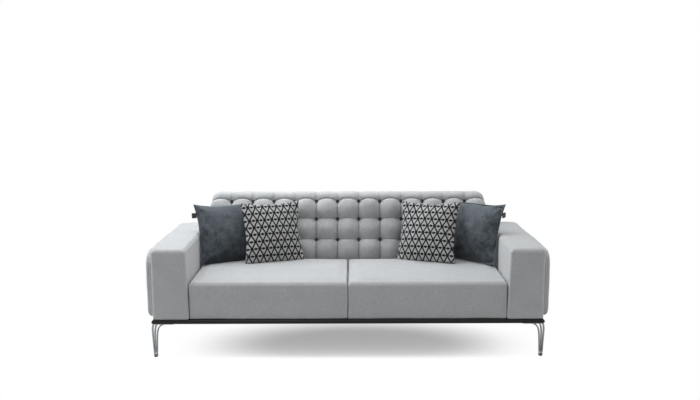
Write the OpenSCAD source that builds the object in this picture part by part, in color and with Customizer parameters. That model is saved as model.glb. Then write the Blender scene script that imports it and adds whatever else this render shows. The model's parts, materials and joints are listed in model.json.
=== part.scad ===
// Three-seat sofa with a button-tufted back, square arms with side pads,
// a black plinth on chrome legs and four loose throw cushions.
// The origin is on the floor, under the middle. The front faces -Y.

/* [Body] */
// Width across the two arms, without their side pads
body_w = 2230; // [1900:10:2800]
// Depth from the arm fronts to the back panel
body_d = 862; // [850:2:960]
// Height of the arm tops above the floor
arm_top_z = 634; // [600:2:680]
// Width of an arm where it stands on the plinth
arm_w = 208; // [180:2:260]
// Length of an arm, up to the corner of the back
arm_d = 572; // [540:2:600]
// Height of the seats above the floor
seat_top_z = 444; // [430:2:480]

/* [Base] */
// Height of the legs
leg_h = 200; // [160:5:220]
// Height of the plinth rails
rail_h = 26; // [20:1:36]
// Depth of the front and rear plinth rails
rail_w = 80; // [74:1:110]
// How far the plinth stands out past the upholstery
rail_out = 5; // [2:1:12]
// Width of the rails that cross the plinth
cross_w = 60; // [50:2:90]
// Thickness of the dust cover
dust_t = 1; // [0.8:0.1:2]

/* [Legs] */
// Width of a leg bar
bar_w = 14; // [11:1:17]
// Thickness of a leg bar
bar_t = 10; // [8:1:12]
// Radius of the bend under the plinth
bar_bend_r = 62; // [50:1:80]
// Length of the straight end under the plinth
bar_end = 20; // [10:1:24]
// Distance of a foot's middle from the end of the plinth
leg_inset = 11; // [10:1:16]
// Distance of a foot's middle from the front or rear of the plinth
leg_set_back = 36; // [34:1:40]
// How far a foot stands out past the top of its leg
leg_splay = 9; // [6:1:12]
// Width of the two arms of a leg plate
plate_w = 44; // [40:1:46]
// Thickness of a leg plate
plate_t = 4; // [3:0.5:6]
// Diameter of the glide under a foot
glide_dia = 22; // [20:1:28]
// Height of the glide
glide_h = 6; // [4:1:10]
// Diameter of the leg screws
screw_dia = 5; // [4:0.5:6]
// Length of the leg screws under their heads
screw_len = 22; // [16:1:24]

/* [Arms] */
// How much an arm narrows towards its top
arm_taper = 11; // [4:1:16]
// Rounding of the arm edges
arm_r = 20; // [12:1:26]
// Rounding where the arm meets the corner of the back
valley_r = 10; // [6:1:14]
// Rounding of the outer edges of the back corners
corner_r = 44; // [30:1:50]
// Thickness of the padding and fabric on the arms
arm_wall = 12; // [8:1:16]
// Thickness of the side panels in the arms
panel_t = 12; // [9:1:18]
// Thickness of the boards in the arms
board_t = 18; // [15:1:24]
// Thickness of a side pad
pad_t = 35; // [24:1:45]
// Corner radius of a side pad
pad_corner_r = 90; // [60:2:110]
// Rounding of a side pad's outer edge
pad_edge_r = 16; // [10:1:20]
// Margin round a side pad at the front, rear and top
pad_margin = 20; // [14:1:30]

/* [Seats] */
// Gap between the two seats
seat_split = 3; // [2:0.5:6]
// How far the seat fronts lie behind the arm fronts
seat_recess = 10; // [4:1:16]
// Gap between a seat and the arm
seat_side_gap = 2; // [1:0.5:4]
// Rounding of the seat edges
seat_r = 26; // [18:1:30]
// Rounding of the upright corners of a seat and of the arm beside it
seat_corner_r = 12; // [8:1:18]
// Crown of a seat in its middle
seat_crown = 9; // [4:1:14]
// Thickness of the padding and fabric on the seats
seat_wall = 12; // [8:1:16]
// Thickness of the seat foam
foam_t = 90; // [70:2:94]
// Thickness of the seat beams
beam_t = 28; // [22:1:34]
// Diameter of the spring wire
wire_dia = 4; // [3:0.2:5]
// Width of a zigzag spring
spring_w = 54; // [50:1:64]
// Springs under each seat
springs_per_seat = 3; // [2:1:4]
// Distance between the runs of a spring
run_pitch = 40; // [37:1:42]

/* [Back] */
// Lean of the back, from upright
back_lean = 16; // [13:1:17]
// Depth of the back at seat height, from the buttons to the rear
back_depth = 203; // [199:1:207]
// Button columns
tuft_columns = 12; // [10:2:12]
// Height of the three button rows up the lean, above the seat
tuft_rows = [110, 242, 352]; // [60:1:370]
// Height of the puffs over the button plane
puff_h = 36; // [24:1:40]
// Height of the pleats halfway between two buttons
pleat_h = 9; // [4:1:12]
// Radius of the roll along the top of the back
crest_r = 52; // [44:1:54]
// Length of the straight lean, from the seat to the roll
lean_len = 356; // [340:1:370]
// Height of the puffs on the top roll
crest_puff_h = 15; // [8:1:18]
// Rounding of the upper corners of the back
crest_end_r = 50; // [36:1:60]
// Gap between the ends of the back and the arms
back_end_gap = 16; // [12:1:24]
// Thickness from the button plane to the webbing
back_t = 60; // [54:1:62]
// Diameter of the buttons
button_dia = 25; // [18:1:28]
// Thickness of the rear panel
rear_panel_t = 12; // [9:1:16]
// Thickness of the back posts
post_t = 30; // [24:1:32]
// Width of the back posts
post_w = 45; // [36:1:60]

/* [Throw cushions] */
// Side of a cushion, corner to corner
cushion_w = 385; // [360:5:390]
// Thickness of a cushion in its middle
cushion_t = 118; // [90:2:124]
// How far the sides of a cushion draw in
cushion_drawn = 15; // [8:1:22]
// How far the inner upper corner of the left plain cushion droops
droop_left = 26; // [10:1:30]
// How far the inner upper corner of the right plain cushion droops
droop_right = 42; // [10:1:46]
// Width of a blank side tag
tag_w = 28; // [20:1:34]
// Height of a blank side tag
tag_h = 34; // [24:1:40]

/* [Hidden] */
// Fit of covers on what they wrap, and of soft pieces on each other
soft_gap = 0.3;
// Fit of bolts and screws in their holes
bolt_fit = 0.3;
// Overrun of cuts
cut = 1;
// Clearance between the seats and the foot of the back
foot_gap = 2;
front_y = -body_d / 2;
rear_y = body_d / 2;
deck_z = leg_h + rail_h;
arm_out_x = body_w / 2;
arm_in_x = arm_out_x - arm_w;
arm_back_y = front_y + arm_d;
tuft_y = body_d - back_depth;
seat_d = tuft_y - puff_h - foot_gap / 2;
plinth_x = arm_out_x + rail_out;
plinth_y = rear_y + rail_out;
cavity_in_x = arm_in_x + arm_taper + arm_wall;
cavity_out_x = arm_out_x - arm_wall;
cavity_top_z = arm_top_z - board_t;
foot_x = plinth_x - leg_inset;
foot_y = plinth_y - leg_set_back;
leg_top_x = foot_x - leg_splay;
plate_z = leg_h - plate_t;
edge_steps = 5;
// How far the front bar stands in from the side bar under its bend
bar_spread = 8;

// Shared shapes and places

// A box between two limits on each axis
module span(x0, x1, y0, y1, z0, z1) {
    translate([x0, y0, z0])
        cube([x1 - x0, y1 - y0, z1 - z0]);
}

// A piece of the left half (s = -1) or of the right half (s = 1)
module side(s) {
    mirror([s < 0 ? 1 : 0, 0, 0])
        children();
}

module both_sides() {
    side(1) children();
    side(-1) children();
}

// A piece of the front (s = -1) or of the rear (s = 1)
module front(s) {
    mirror([0, s < 0 ? 1 : 0, 0])
        children();
}

module front_and_rear() {
    front(1) children();
    front(-1) children();
}

// Points along an arc about (cx, cy)
function arc(cx, cy, r, a0, a1, n = edge_steps) = [
    for (i = [0:n])
        let (a = a0 + (a1 - a0) * i / n)
            [cx + r * cos(a), cy + r * sin(a)]
];

// Outline of a rectangle with its own radius at each corner,
// anticlockwise from the lower left
function soft_rect(x0, x1, y0, y1, r) = concat(
    arc(x0 + r[0], y0 + r[0], r[0], 180, 270),
    arc(x1 - r[1], y0 + r[1], r[1], 270, 360),
    arc(x1 - r[2], y1 - r[2], r[2], 0, 90),
    arc(x0 + r[3], y1 - r[3], r[3], 90, 180)
);

// Closed solid through rings of points of equal count, with fans at its ends
module ring_solid(rings) {
    n = len(rings[0]);
    m = len(rings);
    ends = [mean(rings[0]), mean(rings[m - 1])];
    points = concat([for (ring = rings) each ring], ends);
    sides = [
        for (k = [0:m - 2], i = [0:n - 1])
            let (
                j = (i + 1) % n,
                a = k * n + i,
                b = k * n + j,
                c = a + n,
                d = b + n
            )
                each [[a, c, d], [a, d, b]]
    ];
    caps = [
        for (i = [0:n - 1])
            let (j = (i + 1) % n, top = (m - 1) * n)
                each [[m * n, i, j], [m * n + 1, top + j, top + i]]
    ];
    polyhedron(points, concat(sides, caps), convexity = 6);
}

function mean(ring) = [for (c = [0:2]) sum([for (p = ring) p[c]]) / len(ring)];
function sum(v) = v * [for (x = v) 1];

// Base: a ring of plinth rails with a half-round outer edge

// Section of a plinth rail with its half-round edge towards +X
module rail_section(length) {
    translate([-length + rail_h / 2, 0])
        square([length - rail_h / 2, rail_h]);
    translate([0, rail_h / 2])
        circle(r = rail_h / 2, $fn = 48);
}

// Bar along X with both ends half-round, as wide as the plinth
module plinth_bar(y0, y1) {
    translate([0, y1, leg_h])
        rotate([90, 0, 0])
            linear_extrude(y1 - y0)
                for (s = [-1, 1])
                    mirror([s < 0 ? 1 : 0, 0])
                        translate([plinth_x - rail_h / 2, 0])
                            rail_section(plinth_x);
}

// Rear rail with its half-round edge; the front rail mirrors it
module edge_rail() {
    intersection() {
        plinth_bar(plinth_y - rail_w, plinth_y + cut);
        translate([-plinth_x - cut, plinth_y - rail_h / 2, leg_h])
            rotate([90, 0, 90])
                linear_extrude(2 * (plinth_x + cut))
                    rail_section(plinth_y);
    }
}

// A leg plate ends where the plinth's edge begins to round
plate_x = plinth_x - rail_h / 2;
plate_y = foot_y + plate_w / 2;
plate_reach = bar_spread + bar_bend_r + bar_end + glide_dia / 2;

// Places of the four screws in a leg plate, beside the bars on its two arms
screw_head_r = screw_dia;
screw_clear = 1.5;
screw_off = bar_w / 2 + screw_head_r + screw_clear;
screw_steps = [bar_bend_r / 2, bar_bend_r + bar_end];

module screw_places() {
    for (step = screw_steps, at = [[step, screw_off], [screw_off, step]])
        translate([leg_top_x - at[0], foot_y - at[1], leg_h])
            children();
}

module screw_holes() {
    both_sides()
        screw_places()
            translate([0, 0, -cut - plate_t])
                cylinder(r = (screw_dia + bolt_fit) / 2,
                    h = cut + plate_t + screw_len + bolt_fit, $fn = 32);
}

module base_rear_rail() {
    color([0.1, 0.1, 0.11])
        difference() {
            edge_rail();
            screw_holes();
        }
}

module base_front_rail() {
    color([0.1, 0.1, 0.11])
        mirror([0, 1, 0])
            difference() {
                edge_rail();
                screw_holes();
            }
}

side_rail_w = rail_w;
bolt_x = (cavity_in_x + cavity_out_x) / 2 + panel_t;
bolt_step = arm_d / 4;

module base_side_rail(s) {
    color([0.1, 0.1, 0.11])
        side(s)
            difference() {
                intersection() {
                    plinth_bar(rail_w - plinth_y, plinth_y - rail_w);
                    span(plinth_x - side_rail_w, plinth_x, -plinth_y, plinth_y,
                        leg_h, deck_z);
                }
                arm_bolt_places()
                    translate([0, 0, leg_h - cut])
                        cylinder(r = (bolt_dia + bolt_fit) / 2,
                            h = rail_h + 2 * cut, $fn = 32);
                front_and_rear()
                    screw_holes();
            }
}

module base_left_rail() {
    base_side_rail(-1);
}

module base_right_rail() {
    base_side_rail(1);
}

module base_mid_rail() {
    color([0.1, 0.1, 0.11])
        span(side_rail_w - plinth_x, plinth_x - side_rail_w,
            mid_rail_y0, mid_rail_y1, leg_h, deck_z);
}

module base_cross_rails() {
    color([0.1, 0.1, 0.11])
        for (x = [-arm_in_x - cross_w / 2, 0, arm_in_x + cross_w / 2]) {
            span(x - cross_w / 2, x + cross_w / 2,
                rail_w - plinth_y, mid_rail_y0, leg_h, deck_z);
            span(x - cross_w / 2, x + cross_w / 2,
                mid_rail_y1, plinth_y - rail_w, leg_h, deck_z);
        }
}

// Thin cloth stapled under the rails, notched round the leg plates
module dust_cover() {
    edge = rail_h;
    notch_x = leg_top_x - plate_reach - edge / 2;
    notch_y = foot_y - plate_reach - edge / 2;
    notch_w = plinth_x - notch_x;
    color([0.06, 0.06, 0.06])
        translate([0, 0, leg_h - dust_t])
            linear_extrude(dust_t)
                difference() {
                    square([2 * (plinth_x - edge), 2 * (plinth_y - edge)], center = true);
                    for (sx = [-1, 1], sy = [-1, 1])
                        translate([sx * (notch_x + notch_w), sy * (notch_y + notch_w)])
                            square([notch_w * 2, notch_w * 2], center = true);
                    for (sx = [-1, 1], sy = [-1, 1])
                        translate([sx * bolt_x, front_y + arm_d / 2 + sy * bolt_step])
                            circle(r = bolt_head_dia / 2 + edge / 4, $fn = 32);
                }
}

// Legs: two curved bars to a foot, one bending in along the front, one back

// Rounded-rectangle section of a bar: its width, thickness and corner share
bar_corner_share = 0.3;
function bar_section(w, t) = [
    for (corner = [[1, 1], [-1, 1], [-1, -1], [1, -1]], k = [0:2])
        let (
            r = bar_corner_share * t,
            swap = corner[0] * corner[1] < 0,
            a = 45 * (swap ? 2 - k : k)
        )
            [corner[0] * (w / 2 - r + r * cos(a)), corner[1] * (t / 2 - r + r * sin(a))]
];

// Centre line of a bar, as [inward, up, direction] along the leg.
// It bows outwards from the foot, then bends in under the plate.
bar_bow = 3;
bar_foot_share = 0.76;
bar_rise = plate_z - bar_t / 2 - bar_bend_r;
bar_rise_steps = 8;
bar_bend_steps = 7;
function bar_bow_at(q) = -bar_bow * sin(180 * q);
function bar_line(start) = concat(
    [
        for (i = [0:bar_rise_steps - 1])
            let (q = i / bar_rise_steps)
                [
                    start * q * q + bar_bow_at(q),
                    glide_h + (bar_rise - glide_h) * q,
                    90,
                    bar_foot_share + (1 - bar_foot_share) * q
                ]
    ],
    [
        for (i = [0:bar_bend_steps])
            let (a = 90 * i / bar_bend_steps)
                [
                    start + bar_bend_r * (1 - cos(a)),
                    bar_rise + bar_bend_r * sin(a),
                    90 - a,
                    1
                ]
    ],
    [[start + bar_bend_r + bar_end, plate_z - bar_t / 2, 0, 1]]
);

// A bar that bends towards +X, its width along Y, its top moved over by splay
module leg_bar(start, splay) {
    rings = [
        for (p = bar_line(start))
            [
                for (q = bar_section(bar_w * p[3], bar_t * p[3]))
                    let (rise = (p[1] - glide_h) / (plate_z - glide_h))
                        [
                            p[0] - q[1] * sin(p[2]) + splay[0] * rise,
                            q[0] + splay[1] * rise,
                            p[1] + q[1] * cos(p[2])
                        ]
            ]
    ];
    ring_solid(rings);
}

bar_foot_gap = 0.4;

module leg(sx, sy) {
    apart = bar_t * bar_foot_share / 2 + bar_w * bar_foot_share / 2 + bar_foot_gap;
    color([0.78, 0.79, 0.81])
        side(sx) front(sy)
            translate([foot_x, foot_y, 0]) {
                translate([-apart / 2, 0, 0])
                    mirror([1, 0, 0])
                        leg_bar(bar_spread, [leg_splay, 0]);
                translate([apart / 2, 0, 0])
                    rotate([0, 0, -90])
                        leg_bar(0, [0, -leg_splay]);
            }
}

module leg_front_left() {
    leg(-1, -1);
}

module leg_front_right() {
    leg(1, -1);
}

module leg_rear_left() {
    leg(-1, 1);
}

module leg_rear_right() {
    leg(1, 1);
}

// An L of flat steel, one arm over each bar
module plate_outline() {
    x0 = leg_top_x - plate_reach;
    y0 = foot_y - plate_reach;
    translate([0, 0, plate_z])
        linear_extrude(plate_t) {
            translate([x0, plate_y - plate_w])
                square([plate_x - x0, plate_w]);
            translate([leg_top_x - plate_w / 2, y0])
                square([plate_x - leg_top_x + plate_w / 2, plate_y - y0]);
        }
}

module leg_plates() {
    color([0.16, 0.16, 0.17])
        front_and_rear()
            both_sides()
                difference() {
                    plate_outline();
                    screw_places()
                        translate([0, 0, -cut - plate_t])
                            cylinder(r = (screw_dia + bolt_fit) / 2,
                                h = plate_t + 2 * cut, $fn = 32);
                }
}

screw_head_h = screw_dia * 0.6;

module leg_screws() {
    color([0.3, 0.3, 0.31])
        front_and_rear()
            both_sides()
                screw_places() {
                    translate([0, 0, -plate_t])
                        cylinder(r = screw_dia / 2, h = screw_len, $fn = 32);
                    translate([0, 0, -plate_t - screw_head_h])
                        cylinder(r = screw_head_r, h = screw_head_h, $fn = 32);
                }
}

module leg_glides() {
    color([0.12, 0.12, 0.12])
        front_and_rear()
            both_sides()
                translate([foot_x, foot_y, 0])
                    cylinder(r = glide_dia / 2, h = glide_h, $fn = 48);
}

// Arms: panels and boards under a padded cover, with a pad on the outer side

bolt_dia = 8;
bolt_head_dia = 13;
bolt_head_h = 5.3;

module arm_bolt_places() {
    for (k = [-1, 1])
        translate([bolt_x, front_y + arm_d / 2 + k * bolt_step, 0])
            children();
}

// Section of an arm, which narrows towards its top: [x, z]
function arm_section(inner_r, outer_r) = concat(
    [[arm_in_x, deck_z + soft_gap]],
    [[arm_out_x, deck_z + soft_gap]],
    arc(arm_out_x - outer_r, arm_top_z - outer_r, outer_r, 0, 90),
    arc(arm_in_x + arm_taper + inner_r, arm_top_z - inner_r, inner_r, 90, 180)
);

// Solid between y0 and y1 with the arm's section, rounded in plan and in
// side view: radii of the edges towards the front and towards the rear
module arm_block(y0, y1, inner_r, outer_r, front_r, rear_r, rear_outer_r) {
    intersection() {
        translate([0, y1, 0])
            rotate([90, 0, 0])
                linear_extrude(y1 - y0)
                    polygon(arm_section(inner_r, outer_r));
        linear_extrude(arm_top_z + cut)
            polygon(soft_rect(arm_in_x, arm_out_x, y0, y1,
                [min(front_r, seat_corner_r), front_r, rear_outer_r, rear_r]));
        rotate([90, 0, 90])
            linear_extrude(arm_out_x + cut)
                polygon(concat(
                    [[y0, deck_z], [y1, deck_z]],
                    arc(y1 - rear_outer_r, arm_top_z - rear_outer_r, rear_outer_r, 0, 90),
                    arc(y0 + front_r, arm_top_z - front_r, front_r, 90, 180)
                ));
    }
}

module arm_cover(s) {
    color([0.79, 0.8, 0.82])
        side(s)
            difference() {
                arm_block(front_y, arm_back_y - soft_gap, arm_r, arm_r,
                    arm_r, valley_r, valley_r);
                span(cavity_in_x - soft_gap, cavity_out_x + soft_gap,
                    front_y + arm_wall - soft_gap, arm_back_y - arm_wall + soft_gap,
                    0, cavity_top_z + soft_gap);
            }
}

module arm_cover_left() {
    arm_cover(-1);
}

module arm_cover_right() {
    arm_cover(1);
}

module arm_panels(s) {
    color([0.72, 0.6, 0.44])
        side(s)
            for (x = [cavity_in_x, cavity_out_x - panel_t])
                span(x, x + panel_t, front_y + arm_wall, arm_back_y - arm_wall,
                    deck_z, cavity_top_z - board_t);
}

module arm_left_panels() {
    arm_panels(-1);
}

module arm_right_panels() {
    arm_panels(1);
}

// Top board, front board, rear board and the bottom board that the bolts hold
module arm_boards(s) {
    x0 = cavity_in_x + panel_t;
    x1 = cavity_out_x - panel_t;
    y0 = front_y + arm_wall;
    y1 = arm_back_y - arm_wall;
    color([0.78, 0.66, 0.48])
        side(s) {
            span(cavity_in_x, cavity_out_x, y0, y1, cavity_top_z - board_t, cavity_top_z);
            span(x0, x1, y0, y0 + board_t, deck_z, cavity_top_z - board_t);
            span(x0, x1, y1 - board_t, y1, deck_z, cavity_top_z - board_t);
            difference() {
                span(x0, x1, y0 + board_t, y1 - board_t, deck_z, deck_z + board_t);
                arm_bolt_places()
                    cylinder(r = (bolt_dia + bolt_fit) / 2, h = arm_top_z, $fn = 32);
            }
        }
}

module arm_left_boards() {
    arm_boards(-1);
}

module arm_right_boards() {
    arm_boards(1);
}

module arm_bolts() {
    color([0.55, 0.55, 0.57])
        both_sides()
            arm_bolt_places() {
                translate([0, 0, leg_h - bolt_head_h])
                    cylinder(r = bolt_head_dia / 2, h = bolt_head_h, $fn = 6);
                translate([0, 0, leg_h])
                    cylinder(r = bolt_dia / 2, h = rail_h + board_t + bolt_head_h, $fn = 32);
                translate([0, 0, deck_z + board_t])
                    cylinder(r = bolt_head_dia / 2, h = bolt_head_h, $fn = 6);
            }
}

// Pad on the outer face of an arm: rings step in round its outer edge,
// then rise in a shallow crown
pad_crown_share = 0.14;
pad_crown_steps = 4;
pad_crown_reach = 0.94;
module arm_side_pad(s) {
    x0 = arm_out_x + soft_gap;
    crown = pad_t * pad_crown_share;
    flat = pad_t - pad_edge_r - crown;
    y0 = front_y + pad_margin;
    y1 = rear_y - pad_margin;
    z0 = deck_z + pad_margin / 2;
    z1 = arm_top_z - pad_margin;
    inset_max = (z1 - z0) / 2 - pad_edge_r;
    levels = concat(
        [[0, 0]],
        [for (a = [0:18:90]) [pad_edge_r * (1 - cos(a)), flat + pad_edge_r * sin(a)]],
        [
            for (k = [1:pad_crown_steps])
                let (q = pad_crown_reach * k / pad_crown_steps)
                    [
                        pad_edge_r + inset_max * q,
                        flat + pad_edge_r + crown * (1 - (1 - q) * (1 - q))
                    ]
        ]
    );
    rings = [
        for (level = levels)
            let (r = max(pad_corner_r - level[0], pad_edge_r / 4))
                [
                    for (p = soft_rect(y0 + level[0], y1 - level[0],
                        z0 + level[0], z1 - level[0], [r, r, r, r]))
                        [x0 + level[1], p[0], p[1]]
                ]
    ];
    color([0.7, 0.71, 0.73])
        side(s)
            ring_solid(rings);
}

module arm_side_pad_left() {
    arm_side_pad(-1);
}

module arm_side_pad_right() {
    arm_side_pad(1);
}

// Corners of the back, as high as the arms, each with a post in it
module corner_posts() {
    x1 = cavity_out_x - panel_t;
    y0 = arm_back_y + arm_wall;
    color([0.72, 0.6, 0.44])
        both_sides() {
            span(x1 - post_w, x1, y0, y0 + post_w, deck_z, cavity_top_z);
            span(x1 - post_w, x1, rear_y - corner_r - post_w, rear_y - corner_r,
                deck_z, cavity_top_z);
        }
}

module corner_cover(s) {
    color([0.76, 0.77, 0.79])
        side(s)
            difference() {
                arm_block(arm_back_y, rear_y, arm_r, corner_r,
                    valley_r, arm_r, corner_r);
                span(cavity_in_x, cavity_out_x,
                    arm_back_y + arm_wall - soft_gap, rear_y - corner_r + arm_wall,
                    0, cavity_top_z + soft_gap);
            }
}

module corner_cover_left() {
    corner_cover(-1);
}

module corner_cover_right() {
    corner_cover(1);
}

// Seats: beams, zigzag springs, felt and foam under a crowned cover

seat_x0 = seat_split / 2;
seat_x1 = arm_in_x - seat_side_gap;
seat_y0 = front_y + seat_recess;
seat_y1 = front_y + seat_d;
seat_edge_z = seat_top_z - seat_crown / 3;
beam_x0 = seat_x0 + seat_wall + soft_gap;
beam_x1 = seat_x1 - seat_wall - soft_gap;
beam_y0 = seat_y0 + seat_wall + soft_gap;
beam_y1 = seat_y1 - seat_wall - soft_gap;
foam_top_z = seat_edge_z - seat_wall;
felt_t = 4;
foam_z = foam_top_z - foam_t;
felt_z = foam_z - soft_gap - felt_t;
spring_z = felt_z - soft_gap - wire_dia / 2;
beam_top_z = spring_z - wire_dia / 2;

module seat_beams(s) {
    color([0.72, 0.6, 0.44])
        side(s) {
            for (y = [beam_y0, beam_y1 - beam_t])
                span(beam_x0, beam_x1, y, y + beam_t, deck_z, beam_top_z);
            for (x = [beam_x0, beam_x1 - beam_t])
                span(x, x + beam_t, beam_y0, beam_y1, deck_z, beam_top_z - beam_t);
        }
}

module seat_beams_left() {
    seat_beams(-1);
}

module seat_beams_right() {
    seat_beams(1);
}

// Zigzag spring: straight runs across it, joined by half-round bends
spring_span = beam_y1 - beam_y0 - beam_t;
spring_runs = 2 * round(spring_span / run_pitch / 2) + 1;
run_step = spring_span / (spring_runs - 1);
run_w = spring_w - run_pitch;
wire_sides = 6;
bend_steps = 3;

// Centre line of a spring, as [x, y, heading]
spring_line = [
    for (k = [0:spring_runs - 1])
        let (s = k % 2 == 0 ? 1 : -1)
            each concat(
                [[-s * run_w / 2, k * run_step, 90 - s * 90]],
                [[s * run_w / 2, k * run_step, 90 - s * 90]],
                k == spring_runs - 1 ? [] : [
                    for (i = [1:bend_steps - 1])
                        let (a = 180 * i / bend_steps)
                            [
                                s * (run_w / 2 + run_step / 2 * sin(a)),
                                (k + 0.5) * run_step - run_step / 2 * cos(a),
                                90 - s * (90 - a)
                            ]
                ]
            )
];

module zigzag_spring() {
    ring_solid([
        for (p = spring_line)
            [
                for (i = [0:wire_sides - 1])
                    let (
                        a = 360 * i / wire_sides,
                        off = wire_dia / 2 * sin(a)
                    )
                        [
                            p[0] - off * sin(p[2]),
                            p[1] + off * cos(p[2]),
                            wire_dia / 2 * cos(a)
                        ]
            ]
    ]);
}

spring_pitch = (beam_x1 - beam_x0) / springs_per_seat;

module spring_places() {
    for (k = [0:springs_per_seat - 1])
        translate([beam_x0 + (k + 0.5) * spring_pitch, beam_y0 + beam_t / 2, spring_z])
            children();
}

module seat_springs(s) {
    color([0.6, 0.61, 0.63])
        side(s)
            spring_places()
                zigzag_spring();
}

module seat_springs_left() {
    seat_springs(-1);
}

module seat_springs_right() {
    seat_springs(1);
}

// Steel clips that hold the end runs down on the beams
module seat_spring_clips() {
    clip_w = run_w / 2;
    clip_d = beam_t * 0.6;
    color([0.45, 0.46, 0.48])
        both_sides()
            spring_places()
                for (y = [0, spring_span])
                    translate([-clip_w / 2, y - clip_d / 2, -wire_dia / 2])
                        difference() {
                            cube([clip_w, clip_d, wire_dia]);
                            translate([-cut, clip_d / 2, wire_dia / 2])
                                rotate([0, 90, 0])
                                    cylinder(r = wire_dia / 2 + bolt_fit / 2,
                                        h = clip_w + 2 * cut, $fn = 32);
                            translate([-cut, clip_d / 2 - wire_dia / 2 - bolt_fit / 2,
                                -cut])
                                cube([clip_w + 2 * cut, wire_dia + bolt_fit,
                                    wire_dia / 2 + cut]);
                        }
}

module seat_felt(s) {
    color([0.5, 0.5, 0.48])
        side(s)
            span(beam_x0, beam_x1, beam_y0, beam_y1, felt_z, felt_z + felt_t);
}

module seat_felt_left() {
    seat_felt(-1);
}

module seat_felt_right() {
    seat_felt(1);
}

module seat_foam(s) {
    color([0.93, 0.88, 0.7])
        side(s)
            translate([0, 0, foam_z])
                linear_extrude(foam_t)
                    polygon(soft_rect(beam_x0, beam_x1, beam_y0, beam_y1,
                        [seat_r, seat_r, seat_r, seat_r] - [1, 1, 1, 1] * seat_wall));
}

module seat_foam_left() {
    seat_foam(-1);
}

module seat_foam_right() {
    seat_foam(1);
}

// Cover of a seat: straight sides, a rounded upper edge and a crowned top
seat_crown_steps = 5;
seat_crown_reach = 0.96;
module seat_cover(s) {
    rise = seat_crown / 3;
    inset_max = (seat_y1 - seat_y0) / 2 - seat_r;
    levels = concat(
        [[0, deck_z + soft_gap]],
        [
            for (a = [0:18:90])
                [seat_r * (1 - cos(a)), seat_edge_z - seat_r * (1 - sin(a))]
        ],
        [
            for (k = [1:seat_crown_steps])
                let (q = seat_crown_reach * k / seat_crown_steps)
                    [
                        seat_r + inset_max * q,
                        seat_edge_z + seat_crown * (1 - pow(1 - q, 2.4))
                    ]
        ]
    );
    rings = [
        for (level = levels)
            let (r = max(seat_corner_r - level[0], seat_corner_r / 3))
                [
                    for (p = soft_rect(seat_x0 + level[0], seat_x1 - level[0],
                        seat_y0 + level[0], seat_y1 - level[0], [r, r, r, r]))
                        [p[0], p[1], level[1]]
                ]
    ];
    color([0.8, 0.81, 0.83])
        side(s)
            difference() {
                ring_solid(rings);
                span(beam_x0 - soft_gap, beam_x1 + soft_gap,
                    beam_y0 - soft_gap, beam_y1 + soft_gap,
                    0, foam_top_z + soft_gap);
            }
}

module seat_cover_left() {
    seat_cover(-1);
}

module seat_cover_right() {
    seat_cover(1);
}

// Back: raked posts and webbing under one button-tufted upholstery,
// which rolls over a top board down to the rear panel

web_t = 2.5;
web_w = 60;
web_count = 5;
back_half = arm_in_x - back_end_gap;
tuft_pitch = 2 * back_half / (tuft_columns + 1);
rest_t = back_t + soft_gap + web_t;
crest_z = seat_top_z + lean_len * cos(back_lean) - crest_r * sin(back_lean);
crest_base_share = 0.3;
crest_base_z = crest_z - crest_r * crest_base_share;
back_bottom_t = -board_t * 3;
board_top_z = crest_base_z - soft_gap;
board_z = board_top_z - board_t;

// Depth of a plane that lies behind the button plane, at height z
function plane_y(behind, z) =
    front_y + tuft_y + behind / cos(back_lean) + (z - seat_top_z) * tan(back_lean);
function raked_y(z) = plane_y(rest_t, z);
mid_rail_y1 = raked_y(deck_z) + post_t * 2;
mid_rail_y0 = mid_rail_y1 - rail_w;

module lean_frame() {
    translate([0, front_y + tuft_y, seat_top_z])
        rotate([-back_lean, 0, 0])
            children();
}

module back_raked_posts() {
    color([0.72, 0.6, 0.44])
        intersection() {
            lean_frame()
                for (x = [-back_half + post_w / 2, -back_half / 3,
                    back_half / 3, back_half - post_w / 2])
                    span(x - post_w / 2, x + post_w / 2, rest_t, rest_t + post_t,
                        -seat_top_z, seat_top_z);
            span(-body_w, body_w, front_y, rear_y, deck_z, board_z);
        }
}

rear_post_x = back_half * 0.6;
module back_rear_posts() {
    y1 = rear_y - rear_panel_t;
    color([0.7, 0.58, 0.42])
        for (x = [-rear_post_x, 0, rear_post_x])
            span(x - post_w / 2, x + post_w / 2, y1 - post_t, y1, deck_z, board_z);
}

module back_top_board() {
    color([0.78, 0.66, 0.48])
        span(-back_half, back_half, plane_y(back_t, board_top_z) + 2 * soft_gap,
            rear_y - rear_panel_t, board_z, board_top_z);
}

// Elastic straps across the raked posts
module back_webbing() {
    top_t = (board_z - seat_top_z) / cos(back_lean) - web_w;
    color([0.25, 0.23, 0.2])
        lean_frame()
            for (k = [0:web_count - 1])
                let (t = back_bottom_t + (top_t - back_bottom_t) * k / (web_count - 1))
                    span(-back_half, back_half, back_t + soft_gap, rest_t, t, t + web_w);
}

module back_rear_panel() {
    r = rear_panel_t / 2;
    x1 = arm_in_x - soft_gap;
    color([0.74, 0.75, 0.77])
        translate([0, 0, deck_z + soft_gap])
            linear_extrude(board_top_z - deck_z - soft_gap)
                polygon(soft_rect(-x1, x1, rear_y - rear_panel_t, rear_y,
                    [soft_gap, soft_gap, r, r]));
}

// Path up the lean and over the roll: [y, z, normal angle], drop lowers its top
function roll_start(drop) = lean_len - drop / cos(back_lean);
roll_turn = 180 - back_lean;
roll_len = crest_r * roll_turn * PI / 180;
function back_path(t, drop) =
    let (
        t0 = roll_start(drop),
        s = min(t, t0),
        a = roll_turn * (1 - max(t - t0, 0) / roll_len),
        y = front_y + tuft_y + s * sin(back_lean),
        z = seat_top_z + s * cos(back_lean)
    )
        t <= t0 ? [y, z, roll_turn] : [
            y + crest_r * (cos(back_lean) + cos(a)),
            z + crest_r * (sin(a) - sin(back_lean)),
            a
        ];

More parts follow.
